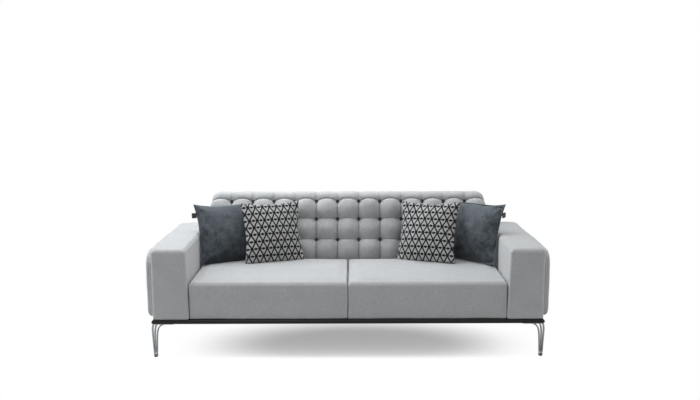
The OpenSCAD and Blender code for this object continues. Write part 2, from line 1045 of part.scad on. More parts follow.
// 0 at the rows and columns of buttons, 1 halfway between them
function column_wave(x) = abs(sin(180 * (x / tuft_pitch + 0.5)));
function band_wave(t, t0, t1) = sin(180 * (t - t0) / (t1 - t0));
function row_wave(t) =
    t < tuft_rows[0] ? band_wave(max(t, 0), -tuft_rows[0], tuft_rows[0]) :
    t < tuft_rows[1] ? band_wave(t, tuft_rows[0], tuft_rows[1]) :
    band_wave(t, tuft_rows[1], tuft_rows[2]);

// Height of the upholstery over the button plane
function tuft_height(x, t, t_end) =
    let (cu = column_wave(x))
        t > tuft_rows[2] ? crest_height(cu, (t - tuft_rows[2]) / (t_end - tuft_rows[2])) :
        let (rv = row_wave(t))
            (puff_h - pleat_h) * sqrt(max(cu * rv, 0)) + pleat_h * max(cu, rv);
// The crest is even along its top, and dips only near the buttons
crest_even = 2.5;
function crest_height(cu, w) =
    crest_puff_h * sqrt(pow(cu, max(1 - crest_even * w, 0)) * max(sin(180 * w), 0)) +
    pleat_h * cu * max(1 - w, 0);

// The pleats of the top row arch up between the buttons
pleat_arch = 15;
function arched(x, t) =
    t + pleat_arch * column_wave(x) * exp(-pow((t - tuft_rows[2]) / (puff_h * 1.2), 2));

band_shares = [0.25, 0.5, 0.75, 1];
roll_shares = [0.2, 0.4, 0.58, 0.74, 0.88, 1];
crest_end_share = 0.9;
function drop_at(edge) = edge >= crest_end_r ? 0 : crest_end_share *
    (crest_end_r - sqrt(pow(crest_end_r, 2) - pow(crest_end_r - edge, 2)));
end_r = 16;
end_shares = [1, 0.4];
function inset_at(edge) = edge >= end_r ? 0 :
    end_r - sqrt(pow(end_r, 2) - pow(end_r - edge, 2));

// One ring of the upholstery at x: its tufted front, the roll and its rear
function tuft_ring(x) =
    let (
        edge = back_half - abs(x),
        drop = drop_at(edge),
        inset = inset_at(edge),
        t_end = roll_start(drop) + roll_len,
        steps = concat(
            [back_bottom_t, 0, tuft_rows[0] / 2, tuft_rows[0]],
            [for (b = [0, 1], q = band_shares)
                tuft_rows[b] + (tuft_rows[b + 1] - tuft_rows[b]) * q],
            [for (q = roll_shares) tuft_rows[2] + (t_end - tuft_rows[2]) * q]
        ),
        front = [
            for (t = steps)
                let (
                    t2 = t > tuft_rows[2] ? t : arched(x, t),
                    p = back_path(t2, drop),
                    h = tuft_height(x, t, t_end) - inset
                )
                    [
                        x,
                        max(p[0] + h * cos(p[2]), front_y + seat_d + foot_gap),
                        p[1] + h * sin(p[2])
                    ]
        ],
        base = crest_base_z,
        bottom = seat_top_z + back_bottom_t * cos(back_lean)
    )
        concat(front, [
            [x, plane_y(back_t, base) + crest_r, base],
            [x, plane_y(back_t, base), base],
            [x, plane_y(back_t, bottom), bottom]
        ]);

module back_tufted_cushion() {
    n = 2 * (tuft_columns + 1);
    inner = [for (k = [-n:n]) k * tuft_pitch / 4];
    ends = end_shares * end_r;
    stations = concat(
        [inner[0]],
        [for (k = [len(ends) - 1:-1:0]) -back_half + ends[k]],
        [for (k = [1:len(inner) - 2]) inner[k]],
        [for (e = ends) back_half - e],
        [inner[len(inner) - 1]]
    );
    color([0.56, 0.57, 0.59])
        ring_solid([for (x = stations) tuft_ring(x)]);
}

// Covered buttons on a short shank, one in each dimple
button_stand = 10;
button_dome = 5;
module button() {
    r = button_dia / 2;
    dome_r = (r * r + button_dome * button_dome) / (2 * button_dome);
    rotate_extrude($fn = 24)
        polygon(concat(
            [[0, soft_gap], [web_t / 2, soft_gap]],
            arc(0, button_stand + button_dome - dome_r, dome_r,
                90 - asin(r / dome_r), 90, 4)
        ));
}

module back_buttons() {
    color([0.18, 0.18, 0.19])
        for (row = tuft_rows, k = [0:tuft_columns - 1])
            let (p = back_path(row, 0))
                translate([(k - (tuft_columns - 1) / 2) * tuft_pitch, p[0], p[1]])
                    rotate([p[2] - 90, 0, 0])
                        button();
}

// Throw cushions: crowned both ways, with drawn-in sides and pointed corners

cushion_steps = 12;
seam_t = 4;
cushion_fullness = 0.42;
cushion_half = cushion_w / 2;
function edge_at(v) = cushion_half - cushion_drawn * (1 - v * v);

// A positive droop lowers the upper corner at +X, a negative one that at -X
function cushion_grid(f, droop) = [
    for (j = [0:cushion_steps], i = [0:cushion_steps])
        let (
            u = sin(90 * (2 * i / cushion_steps - 1)),
            v = sin(90 * (2 * j / cushion_steps - 1)),
            swell = pow(max((1 - u * u) * (1 - v * v), 0), cushion_fullness),
            fall = pow(max(u * sign(droop), 0) * max(v, 0), 2)
        )
            [
                u * edge_at(v),
                f * (seam_t + (cushion_t - seam_t) * swell) / 2,
                v * edge_at(u) - abs(droop) * fall
            ]
];

module cushion_body(droop = 0) {
    n = cushion_steps;
    m = n + 1;
    back = m * m;
    cells = [for (j = [0:n - 1], i = [0:n - 1]) j * m + i];
    rim = concat(
        [for (i = [0:n - 1]) i],
        [for (j = [0:n - 1]) j * m + n],
        [for (i = [n:-1:1]) n * m + i],
        [for (j = [n:-1:1]) j * m]
    );
    faces = concat(
        [for (a = cells) each [[a, a + m, a + m + 1], [a, a + m + 1, a + 1]]],
        [for (a = cells) each [
            [back + a, back + a + m + 1, back + a + m],
            [back + a, back + a + 1, back + a + m + 1]
        ]],
        [for (k = [0:len(rim) - 1])
            let (a = rim[k], b = rim[(k + 1) % len(rim)])
                each [[a, b, back + b], [a, back + b, back + a]]]
    );
    points = concat(cushion_grid(-1, droop), cushion_grid(1, droop));
    polyhedron(points, faces, convexity = 4);
}

// Places of the cushions, as shares of their width: distance from the arm,
// in front of the buttons and over the seat; then turn, tilt and lean
plain_left_at = [0.3922, 0.3091, 0.4785, 26, 0, 16];
pattern_left_at = [1.1247, 0.2675, 0.478, 22, 1, 20];
pattern_right_at = [1.0571, 0.2779, 0.48, -25, -2, 22];
plain_right_at = [0.3221, 0.3922, 0.5047, -44, 3, 13];

module cushion_place(at, s) {
    translate([
        s * (arm_in_x - at[0] * cushion_w),
        front_y + tuft_y - at[1] * cushion_w,
        seat_top_z + at[2] * cushion_w
    ])
        rotate([0, 0, at[3]])
            rotate([-at[5], 0, 0])
                rotate([0, at[4], 0])
                    children();
}

module cushion_plain_left() {
    color([0.27, 0.29, 0.31])
        cushion_place(plain_left_at, -1)
            cushion_body(droop_left);
}

module cushion_pattern_left() {
    color([0.62, 0.62, 0.6])
        cushion_place(pattern_left_at, -1)
            cushion_body();
}

module cushion_pattern_right() {
    color([0.62, 0.62, 0.6])
        cushion_place(pattern_right_at, 1)
            cushion_body();
}

module cushion_plain_right() {
    color([0.36, 0.38, 0.4])
        cushion_place(plain_right_at, 1)
            cushion_body(-droop_right);
}

// Blank cloth tag in the outer side seam of a plain cushion
tag_t = 1.2;
tag_share = 0.6;
tag_x = edge_at(tag_share + tag_h / cushion_w) + soft_gap;
module cushion_tag(at, s) {
    color([0.3, 0.28, 0.26])
        cushion_place(at, s)
            side(s)
                span(tag_x, tag_x + tag_w, -tag_t / 2, tag_t / 2,
                    cushion_half * tag_share - tag_h / 2,
                    cushion_half * tag_share + tag_h / 2);
}

module cushion_tag_left() {
    cushion_tag(plain_left_at, -1);
}

module cushion_tag_right() {
    cushion_tag(plain_right_at, 1);
}

base_front_rail();
base_rear_rail();
base_left_rail();
base_right_rail();
base_mid_rail();
base_cross_rails();
dust_cover();
leg_front_left();
leg_front_right();
leg_rear_left();
leg_rear_right();
leg_plates();
leg_screws();
leg_glides();
arm_left_panels();
arm_right_panels();
arm_left_boards();
arm_right_boards();
arm_bolts();
arm_cover_left();
arm_cover_right();
arm_side_pad_left();
arm_side_pad_right();
corner_posts();
corner_cover_left();
corner_cover_right();
seat_beams_left();
seat_beams_right();
seat_springs_left();
seat_springs_right();
seat_spring_clips();
seat_felt_left();
seat_felt_right();
seat_foam_left();
seat_foam_right();
seat_cover_left();
seat_cover_right();
back_raked_posts();
back_rear_posts();
back_top_board();
back_webbing();
back_rear_panel();
back_tufted_cushion();
back_buttons();
cushion_plain_left();
cushion_pattern_left();
cushion_pattern_right();
cushion_plain_right();
cushion_tag_left();
cushion_tag_right();
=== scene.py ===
import json
import math

import bpy
import bmesh
from mathutils import Matrix, Vector, noise


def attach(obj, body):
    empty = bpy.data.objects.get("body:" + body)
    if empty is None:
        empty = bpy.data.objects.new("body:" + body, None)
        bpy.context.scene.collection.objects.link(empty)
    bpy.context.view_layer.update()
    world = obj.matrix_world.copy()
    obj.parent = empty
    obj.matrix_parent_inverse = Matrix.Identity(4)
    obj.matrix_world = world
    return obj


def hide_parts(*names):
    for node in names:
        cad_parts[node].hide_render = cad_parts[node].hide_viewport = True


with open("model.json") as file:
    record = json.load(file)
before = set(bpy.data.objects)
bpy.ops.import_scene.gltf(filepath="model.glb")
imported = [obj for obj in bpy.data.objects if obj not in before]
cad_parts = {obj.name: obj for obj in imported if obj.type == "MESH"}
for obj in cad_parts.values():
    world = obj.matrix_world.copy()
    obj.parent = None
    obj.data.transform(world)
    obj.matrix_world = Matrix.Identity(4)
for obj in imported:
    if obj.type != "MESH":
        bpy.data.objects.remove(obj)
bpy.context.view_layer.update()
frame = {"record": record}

bodySofa = "sofa"
mm = 0.001


def report(stage):
    print("stage:", stage)


# Node helpers

def addNode(tree, kind, inputs=None, **settings):      # each input gets a value, or a link from a socket
    node = tree.nodes.new("ShaderNode" + kind)
    for key, value in settings.items():
        setattr(node, key, value)
    for key, value in (inputs or {}).items():
        if isinstance(value, bpy.types.NodeSocket):
            tree.links.new(value, node.inputs[key])
        else:
            node.inputs[key].default_value = value
    return node


def mathNode(tree, operation, *values):
    return addNode(tree, "Math", dict(enumerate(values)), operation=operation).outputs[0]


def mapRange(tree, value, source, target=(0, 1), kind="LINEAR"):
    ends = dict(zip(("From Min", "From Max", "To Min", "To Max"), (*source, *target)))
    return addNode(tree, "MapRange", {"Value": value, **ends}, interpolation_type=kind).outputs["Result"]


def mixColour(tree, share, first, second, blend="MIX"):
    return addNode(tree, "Mix", {0: share, 6: first, 7: second}, data_type="RGBA", blend_type=blend).outputs[2]


def objectCoord(tree):
    return addNode(tree, "TexCoord").outputs["Object"]


def facingUp(tree):
    return addNode(tree, "SeparateXYZ", {0: addNode(tree, "TexCoord").outputs["Normal"]}).outputs


# Camera and light

viewSettings = {
    "back": 4.594,          # metres in front of the arm fronts
    "side": 0.0150,         # the sofa stands a little left of the frame's middle
    "height": 1.640,
    "pitch": 8.964,         # degrees down
    "roll": 0.17,           # the photo leans by this much
    "lens": 42.97,
    "sensor": 36,
    "armFront": 0.431,      # arm fronts, in front of the middle
}
lightSettings = {
    "keyLight": {
        "at": (-0.8, 0.6, 2.9), "size": 3.2, "power": 90, "aim": (0, 0.15, 0.4), "tint": (0.92, 0.97, 1.0)},
    "leftLight": {
        "at": (-3.4, -0.5, 1.5), "size": 1.8, "power": 28, "aim": (0.6, 0, 0.45), "tint": (0.95, 0.98, 1.0)},
    "rightLight": {
        "at": (3.4, -0.5, 1.5), "size": 1.8, "power": 18, "aim": (-0.6, 0, 0.45), "tint": (0.97, 0.99, 1.0)},
}
worldSettings = {"strength": 0.34, "tint": (1, 0.995, 0.985, 1)}
paperSettings = {
    "size": 60, "seen": (1.7, 1.7, 1.7, 1), "glow": 0.33, "bounce": (0.62, 0.625, 0.63, 1),
    "middle": (0.06, -0.2), "span": (1.1, 0.56), "fade": (0.42, 1.08),      # white past this ellipse
}


def makeCamera(v):
    bpy.ops.object.camera_add(
        location=(v["side"], -v["armFront"] - v["back"], v["height"]),
        rotation=(math.radians(90 - v["pitch"]), math.radians(v["roll"]), 0),
    )
    cam = bpy.context.object
    cam.data.lens = v["lens"]
    cam.data.sensor_width = v["sensor"]
    bpy.context.scene.camera = cam


def makeLight(name, spec):
    bpy.ops.object.light_add(type="AREA", location=spec["at"])
    lamp = bpy.context.object
    lamp.name = name
    lamp.data.size = spec["size"]
    lamp.data.energy = spec["power"]
    lamp.data.color = spec["tint"]
    lamp.rotation_euler = (Vector(spec["aim"]) - lamp.location).to_track_quat("-Z", "Y").to_euler()


def makeWorld(w):
    world = bpy.data.worlds.new("studioWorld")
    bpy.context.scene.world = world
    world.use_nodes = True
    tree = world.node_tree
    tree.nodes.clear()
    soft = addNode(tree, "Background", {"Color": w["tint"], "Strength": w["strength"]})
    white = addNode(tree, "Background", {"Color": (1, 1, 1, 1), "Strength": 1})
    path = addNode(tree, "LightPath").outputs
    seen = mathNode(tree, "MAXIMUM", path["Is Camera Ray"], path["Is Transmission Ray"])
    mix = addNode(tree, "MixShader", {0: seen, 1: soft.outputs[0], 2: white.outputs[0]})
    addNode(tree, "OutputWorld", {0: mix.outputs[0]})


def makeFloor(paper):
    bpy.ops.mesh.primitive_plane_add(size=paper["size"], location=(0, 0, 0))
    floor = bpy.context.object
    floor.name = "studioFloor"
    mat = bpy.data.materials.new("studioFloor")
    mat.use_nodes = True
    tree = mat.node_tree
    tree.nodes.clear()
    oval = addNode(tree, "Mapping", {
        "Vector": objectCoord(tree),
        "Location": [-m / w for m, w in zip(paper["middle"], paper["span"])] + [0],
        "Scale": [1 / w for w in paper["span"]] + [0],
    })
    reach = addNode(tree, "VectorMath", {0: oval.outputs[0]}, operation="LENGTH").outputs["Value"]
    seen = addNode(tree, "BsdfDiffuse", {"Color": paper["seen"]})      # white paper with the shadow on it
    glow = addNode(tree, "Emission", {"Strength": paper["glow"]})
    close = addNode(tree, "AddShader", {0: seen.outputs[0], 1: glow.outputs[0]})
    white = addNode(tree, "Emission", {"Strength": 1})
    fade = mapRange(tree, reach, paper["fade"], kind="SMOOTHSTEP")
    shown = addNode(tree, "MixShader", {0: fade, 1: close.outputs[0], 2: white.outputs[0]})
    lit = addNode(tree, "BsdfDiffuse", {"Color": paper["bounce"]})     # what lights the sofa from below
    camera = addNode(tree, "LightPath").outputs["Is Camera Ray"]
    mix = addNode(tree, "MixShader", {0: camera, 1: lit.outputs[0], 2: shown.outputs[0]})
    addNode(tree, "OutputMaterial", {0: mix.outputs[0]})
    floor.data.materials.append(mat)


bpy.ops.object.select_all(action="DESELECT")
bpy.context.scene.view_settings.view_transform = "Standard"
makeCamera(viewSettings)
makeWorld(worldSettings)
for name, spec in lightSettings.items():
    makeLight(name, spec)
makeFloor(paperSettings)
report("camera, light and floor")


# Shared shader effects, as node groups

def newGroup(name, inputs, outputs):
    group = bpy.data.node_groups.new(name, "ShaderNodeTree")
    for label, kind, value in inputs:
        sock = group.interface.new_socket(label, in_out="INPUT", socket_type=kind)
        sock.default_value = value
    for label, kind in outputs:
        group.interface.new_socket(label, in_out="OUTPUT", socket_type=kind)
    return group, group.nodes.new("NodeGroupInput").outputs, group.nodes.new("NodeGroupOutput").inputs


def makeWeaveGroup():
    tree, enter, leave = newGroup(
        "threadWeave",
        [("Threads", "NodeSocketFloat", 130.0), ("Slub", "NodeSocketFloat", 60.0)],
        [("Height", "NodeSocketFloat"), ("Thread", "NodeSocketFloat")],
    )
    coord = objectCoord(tree)
    facing = facingUp(tree)
    total, weights = 0, 0
    for axis in ("X", "Y", "Z"):      # threads run across a face, never along its own normal
        wave = addNode(tree, "TexWave", {
            "Vector": coord, "Scale": enter["Threads"], "Distortion": 1.6, "Detail": 1, "Detail Scale": 0.7,
        }, bands_direction=axis)
        square = mathNode(tree, "MULTIPLY", facing[axis], facing[axis])
        weight = mathNode(tree, "POWER", mathNode(tree, "SUBTRACT", 1.0, square), 3)
        total = mathNode(tree, "ADD", total, mathNode(tree, "MULTIPLY", wave.outputs["Fac"], weight))
        weights = mathNode(tree, "ADD", weights, weight)
    woven = mathNode(tree, "DIVIDE", total, weights)
    slub = addNode(tree, "TexNoise", {
        "Vector": coord, "Scale": enter["Slub"], "Detail": 3, "Roughness": 0.6}).outputs["Fac"]
    tree.links.new(mathNode(tree, "MULTIPLY_ADD", slub, 0.4, woven), leave["Height"])
    shade = mathNode(tree, "MULTIPLY_ADD", slub, 0.65, mathNode(tree, "MULTIPLY", woven, 0.35))
    tree.links.new(shade, leave["Thread"])
    return tree


def makeMottleGroup():
    tree, enter, leave = newGroup(
        "softMottle",
        [("Dark", "NodeSocketColor", (0.4, 0.4, 0.4, 1)), ("Light", "NodeSocketColor", (0.6, 0.6, 0.6, 1)),
         ("Size", "NodeSocketFloat", 9.0), ("Shift", "NodeSocketFloat", 0.0)],
        [("Color", "NodeSocketColor")],
    )
    cloud = addNode(tree, "TexNoise", {
        "Vector": objectCoord(tree), "Scale": enter["Size"], "Detail": 5, "Roughness": 0.65}).outputs["Fac"]
    share = mathNode(tree, "ADD", mathNode(tree, "MULTIPLY_ADD", cloud, 2.2, -0.6), enter["Shift"])
    tree.links.new(mixColour(tree, share, enter["Dark"], enter["Light"]), leave["Color"])
    return tree


weaveGroup = makeWeaveGroup()
mottleGroup = makeMottleGroup()


def newMaterial(name, values):
    mat = bpy.data.materials.new(name)
    mat.use_nodes = True
    shader = mat.node_tree.nodes["Principled BSDF"]
    for label, value in values.items():
        shader.inputs[label].default_value = value
    return mat, mat.node_tree, shader.inputs


def weaveNode(tree, threads, slub):
    return addNode(tree, "Group", {"Threads": threads, "Slub": slub}, node_tree=weaveGroup).outputs


def mottleNode(tree, dark, light, size):
    return addNode(tree, "Group", {"Dark": (*dark, 1), "Light": (*light, 1), "Size": size}, node_tree=mottleGroup)


def bumpFrom(tree, shader, height, strength, distance):
    bump = addNode(tree, "Bump", {"Height": height, "Strength": strength, "Distance": distance})
    tree.links.new(bump.outputs["Normal"], shader["Normal"])


def fabricMaterial(name, dark, light, threads, slub, sheen, roughness=0.92, depth=0.0006, mottle=7.0, paintedTopLight=None,
                   fleck=(0.80, 1.15)):
    mat, tree, shader = newMaterial(name, {
        "Roughness": roughness, "Sheen Weight": sheen, "Sheen Roughness": 0.45, "Specular IOR Level": 0.2})
    weave = weaveNode(tree, threads, slub)
    cloud = mottleNode(tree, dark, light, mottle)
    if paintedTopLight:      # painted light: lighter where the surface faces up and darker where it faces sideways, as if lit from above
        tree.links.new(mathNode(tree, "MULTIPLY_ADD", facingUp(tree)["Z"], *paintedTopLight), cloud.inputs["Shift"])
    speck = mapRange(tree, weave["Thread"], (0.3, 0.7), fleck)
    tree.links.new(mixColour(tree, 1, cloud.outputs["Color"], speck, "MULTIPLY"), shader["Base Color"])
    bumpFrom(tree, shader, weave["Height"], 0.5, depth)
    return mat


def plainMaterial(name, colour, roughness, metallic=0.0, grain=140.0, depth=0.0001, coat=0.0):
    mat, tree, shader = newMaterial(name, {"Metallic": metallic, "Coat Weight": coat})
    cloud = mottleNode(tree, [c * 0.9 for c in colour], colour, grain / 6)
    tree.links.new(cloud.outputs["Color"], shader["Base Color"])
    fine = addNode(tree, "TexNoise", {"Vector": objectCoord(tree), "Scale": grain, "Detail": 4}).outputs["Fac"]
    rough = mapRange(tree, fine, (0, 1), (roughness - 0.05, roughness + 0.05))
    tree.links.new(rough, shader["Roughness"])
    bumpFrom(tree, shader, fine, 0.3, depth)
    return mat


latticeCloth = {      # lengths in metres
    "wide": 0.046, "tall": 0.088,              # one diamond
    "line": 0.110, "lineBlur": 0.015,          # as shares of a diamond
    "wedge": 0.0120, "wedgeEnd": 0.0105, "wedgeBlur": (-0.0005, 0.0009),
    "pip": (0.0104, 0.0078), "pipBlur": (0.86, 1.14),
    "threads": (700, 0.0022),                  # fineness and size of the uneven edges
    "light": (0.56, 0.555, 0.545), "dark": (0.016, 0.016, 0.019, 1),
}


def latticeMaterial(name, c):
    mat, tree, shader = newMaterial(name, {
        "Roughness": 0.9, "Sheen Weight": 0.15, "Specular IOR Level": 0.2})

    def calc(operation, *values):
        return mathNode(tree, operation, *values)

    own = addNode(tree, "UVMap", uv_map="clothUv").outputs["UV"]
    fineness, size = c["threads"]
    wobble = addNode(tree, "TexNoise", {"Vector": own, "Scale": fineness}).outputs["Fac"]
    shake = calc("MULTIPLY", calc("SUBTRACT", wobble, 0.5), size)
    parts = addNode(tree, "SeparateXYZ", {0: own}).outputs
    x = calc("DIVIDE", calc("ADD", parts["X"], shake), c["wide"])
    z = calc("DIVIDE", calc("ADD", parts["Y"], shake), c["tall"])
    a, b = calc("FRACT", calc("ADD", x, z)), calc("FRACT", calc("SUBTRACT", x, z))
    toLine = calc("MINIMUM", *(calc("MINIMUM", q, calc("SUBTRACT", 1.0, q)) for q in (a, b)))
    field = mapRange(tree, toLine, (c["line"] - c["lineBlur"], c["line"] + c["lineBlur"]))
    off = calc("ABSOLUTE", calc("MULTIPLY", calc("SUBTRACT", calc("ADD", a, b), 1.0), c["wide"] / 2))
    up = calc("ABSOLUTE", calc("MULTIPLY", calc("SUBTRACT", a, b), c["tall"] / 2))
    slope = c["wedge"] / (c["wide"] / 2 - c["wedgeEnd"])
    wedge = calc("SUBTRACT", up, calc("MULTIPLY", calc("SUBTRACT", off, c["wedgeEnd"]), slope))
    bar = mapRange(tree, wedge, c["wedgeBlur"])
    across, along = (calc("POWER", calc("DIVIDE", q, half), 2) for q, half in zip((off, up), c["pip"]))
    pip = mapRange(tree, calc("ADD", across, along), c["pipBlur"])
    light = calc("MULTIPLY", field, calc("MULTIPLY", bar, pip))
    cloud = mottleNode(tree, [q * 0.8 for q in c["light"]], c["light"], 60)
    tree.links.new(mixColour(tree, light, c["dark"], cloud.outputs["Color"]), shader["Base Color"])
    weave = weaveNode(tree, 260, 300)
    bumpFrom(tree, shader, calc("MULTIPLY_ADD", light, 0.6, weave["Height"]), 0.5, 0.0007)
    return mat


greyFabric = fabricMaterial("greyUpholstery", (0.545, 0.545, 0.55), (0.595, 0.595, 0.60), 130, 150, 0.25)
# painted light: a lighter copy of the grey upholstery, so the side pads look more brightly lit than the same cloth
# elsewhere
paintedLightPadFabric = fabricMaterial("greyPadUpholsteryPaintedLight", (0.62, 0.62, 0.625), (0.67, 0.67, 0.675), 130, 150, 0.3)
# painted shade and light: the grey upholstery made darker for the back, darker still on its upright faces and
# lighter where it faces up, as if lit from above
paintedShadingBackFabric = fabricMaterial(
    "greyBackUpholsteryPaintedShading", (0.42, 0.42, 0.423), (0.64, 0.64, 0.644), 130, 150, 0.2, paintedTopLight=(1.0, -0.65))
# painted light: the velvet is lighter where it faces up and darker on its upright faces, as if lit from above; its
# own colour also varies at random
plainFabric = fabricMaterial(
    "bluegreyVelvet", (0.022, 0.029, 0.037), (0.125, 0.145, 0.164), 200, 150, 0.7, 0.75, 0.0009, 24,
    paintedTopLight=(1.5, -0.30), fleck=(0.55, 1.45))
patternFabric = latticeMaterial("latticeCloth", latticeCloth)
buttonFabric = fabricMaterial("buttonCloth", (0.05, 0.052, 0.056), (0.075, 0.078, 0.084), 420, 300, 0.1)
tagFabric = fabricMaterial("blankTag", (0.055, 0.048, 0.045), (0.095, 0.084, 0.080), 500, 300, 0.0)
dustFabric = fabricMaterial("dustCloth", (0.02, 0.02, 0.02), (0.035, 0.035, 0.035), 300, 300, 0.0)
hiddenCloth = fabricMaterial("innerCloth", (0.3, 0.28, 0.24), (0.5, 0.47, 0.4), 300, 200, 0.0)
chromeMetal = plainMaterial("polishedChrome", (0.50, 0.51, 0.53), 0.2, 1.0, 60.0, 0.00003)

slotMaterials = {
    "plinth_lacquer": plainMaterial("blackLacquer", (0.009, 0.009, 0.010), 0.45, coat=0.05),
    "chrome": chromeMetal,
    "black_plastic": plainMaterial("darkPlastic", (0.03, 0.03, 0.03), 0.5),
    "zinc_steel": plainMaterial("zincSteel", (0.45, 0.46, 0.48), 0.35, 1.0),
    "frame_timber": plainMaterial("frameTimber", (0.5, 0.36, 0.2), 0.6, grain=60.0, depth=0.0004),
    "dust_cloth": dustFabric,
    "grey_fabric": greyFabric,
    "button_fabric": buttonFabric,
    "foam": hiddenCloth,
    "felt": hiddenCloth,
    "webbing": hiddenCloth,
    "plain_fabric": plainFabric,
    "pattern_fabric": patternFabric,
    "tag_fabric": tagFabric,
}


def dressFrame():
    for part in frame["record"]["subparts"]:
        obj = bpy.data.objects.get(part["node"])
        if obj:
            obj.data.materials.clear()
            obj.data.materials.append(slotMaterials[part["material_slot"]])


dressFrame()
report("materials")


# Shared modelling steps

def clearSelection():
    if bpy.context.object and bpy.context.object.mode != "OBJECT":
        bpy.ops.object.mode_set(mode="OBJECT")
    bpy.ops.object.select_all(action="DESELECT")


def makeActive(obj):
    clearSelection()
    obj.select_set(True)
    bpy.context.view_layer.objects.active = obj


def editWhole(obj):      # edit mode with everything selected
    makeActive(obj)
    bpy.ops.object.mode_set(mode="EDIT")
    bpy.ops.mesh.select_all(action="SELECT")


def leaveEdit(outward=False):
    if outward:
        bpy.ops.mesh.select_all(action="SELECT")
        bpy.ops.mesh.normals_make_consistent(inside=False)
    bpy.ops.object.mode_set(mode="OBJECT")


def startBox(name, low, high):
    clearSelection()
    low, high = Vector(low), Vector(high)
    bpy.ops.mesh.primitive_cube_add(size=1, location=(low + high) / 2)
    obj = bpy.context.object
    obj.name = name
    obj.scale = high - low
    bpy.ops.object.transform_apply(location=True, rotation=True, scale=True)
    return obj


def addModifier(obj, kind, **values):
    mod = obj.modifiers.new(kind.lower(), kind)
    for key, value in values.items():
        setattr(mod, key, value)


def applyModifiers(obj):
    makeActive(obj)
    for mod in list(obj.modifiers):
        bpy.ops.object.modifier_apply(modifier=mod.name)


def joinPieces(pieces):
    clearSelection()
    for piece in pieces:
        piece.select_set(True)
    bpy.context.view_layer.objects.active = pieces[0]
    bpy.ops.object.join()
    return bpy.context.object


def meshObject(name, mesh):
    data = bpy.data.meshes.new(name)
    mesh.to_mesh(data)
    mesh.free()
    obj = bpy.data.objects.new(name, data)
    bpy.context.collection.objects.link(obj)
    return obj


def bridgeRows(mesh, rows, flip=False):      # faces between each row of vertices and the next
    for a, b in zip(rows, rows[1:]):
        for i in range(len(a) - 1):
            quad = (a[i], a[i + 1], b[i + 1], b[i])
            mesh.faces.new(quad[::-1] if flip else quad)


def buildRings(name, rings):      # a closed form through rings of points
    mesh = bmesh.new()
    rows = [[mesh.verts.new(q) for q in ring] for ring in rings]
    bridgeRows(mesh, [row + row[:1] for row in rows])
    ends = [mesh.faces.new(rows[0]), mesh.faces.new(rows[-1])]
    bmesh.ops.triangulate(mesh, faces=ends)
    bmesh.ops.recalc_face_normals(mesh, faces=mesh.faces)
    return meshObject(name, mesh)


def mirrorPiece(obj, name):
    copy = obj.copy()
    copy.data = obj.data.copy()
    copy.name = name
    bpy.context.collection.objects.link(copy)
    for v in copy.data.vertices:
        v.co.x = -v.co.x
    copy.data.flip_normals()
    copy.data.update()
    return copy


def finishPiece(obj, material, nodes=(), body=bodySofa, smooth=60):
    makeActive(obj)
    obj.data.materials.clear()
    obj.data.materials.append(material)
    bpy.ops.object.shade_smooth_by_angle(angle=math.radians(smooth))
    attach(obj, body)
    if nodes:
        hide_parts(*nodes)


def finishPair(right, nameLeft, nodes, material):
    left = mirrorPiece(right, nameLeft)
    for obj, node in ((left, nodes[0]), (right, nodes[1])):
        finishPiece(obj, material, [node], smooth=70)


def moveVertices(obj, shift):      # shift(point, normal) gives each vertex its move
    mesh = obj.data
    points = [(v.co.copy(), v.normal.copy()) for v in mesh.vertices]
    for v, (co, normal) in zip(mesh.vertices, points):
        v.co = co + shift(co, normal)
    mesh.update()


def smoothStep(low, high, value):
    q = min(max((value - low) / (high - low), 0), 1)
    return q * q * (3 - 2 * q)


def bell(distance, reach, power=2):      # 1 at no distance, falling smoothly to 0
    return math.exp(-(distance / reach) ** power)


def tickLine(low, high, step, marks, beside, clear, digits):      # even ticks, finer beside each mark
    count = int((high - low) / step)
    even = [round(low + (high - low) * i / count, digits) for i in range(count + 1)]
    even = [q for q in even if all(abs(q - m) > clear for m in marks)]
    fine = [round(m + d, digits) for m in marks for d in beside]
    return sorted({q for q in even + fine if low <= q <= high})


# Tufted back: puffs between pleats, with a crest that rolls to the rear

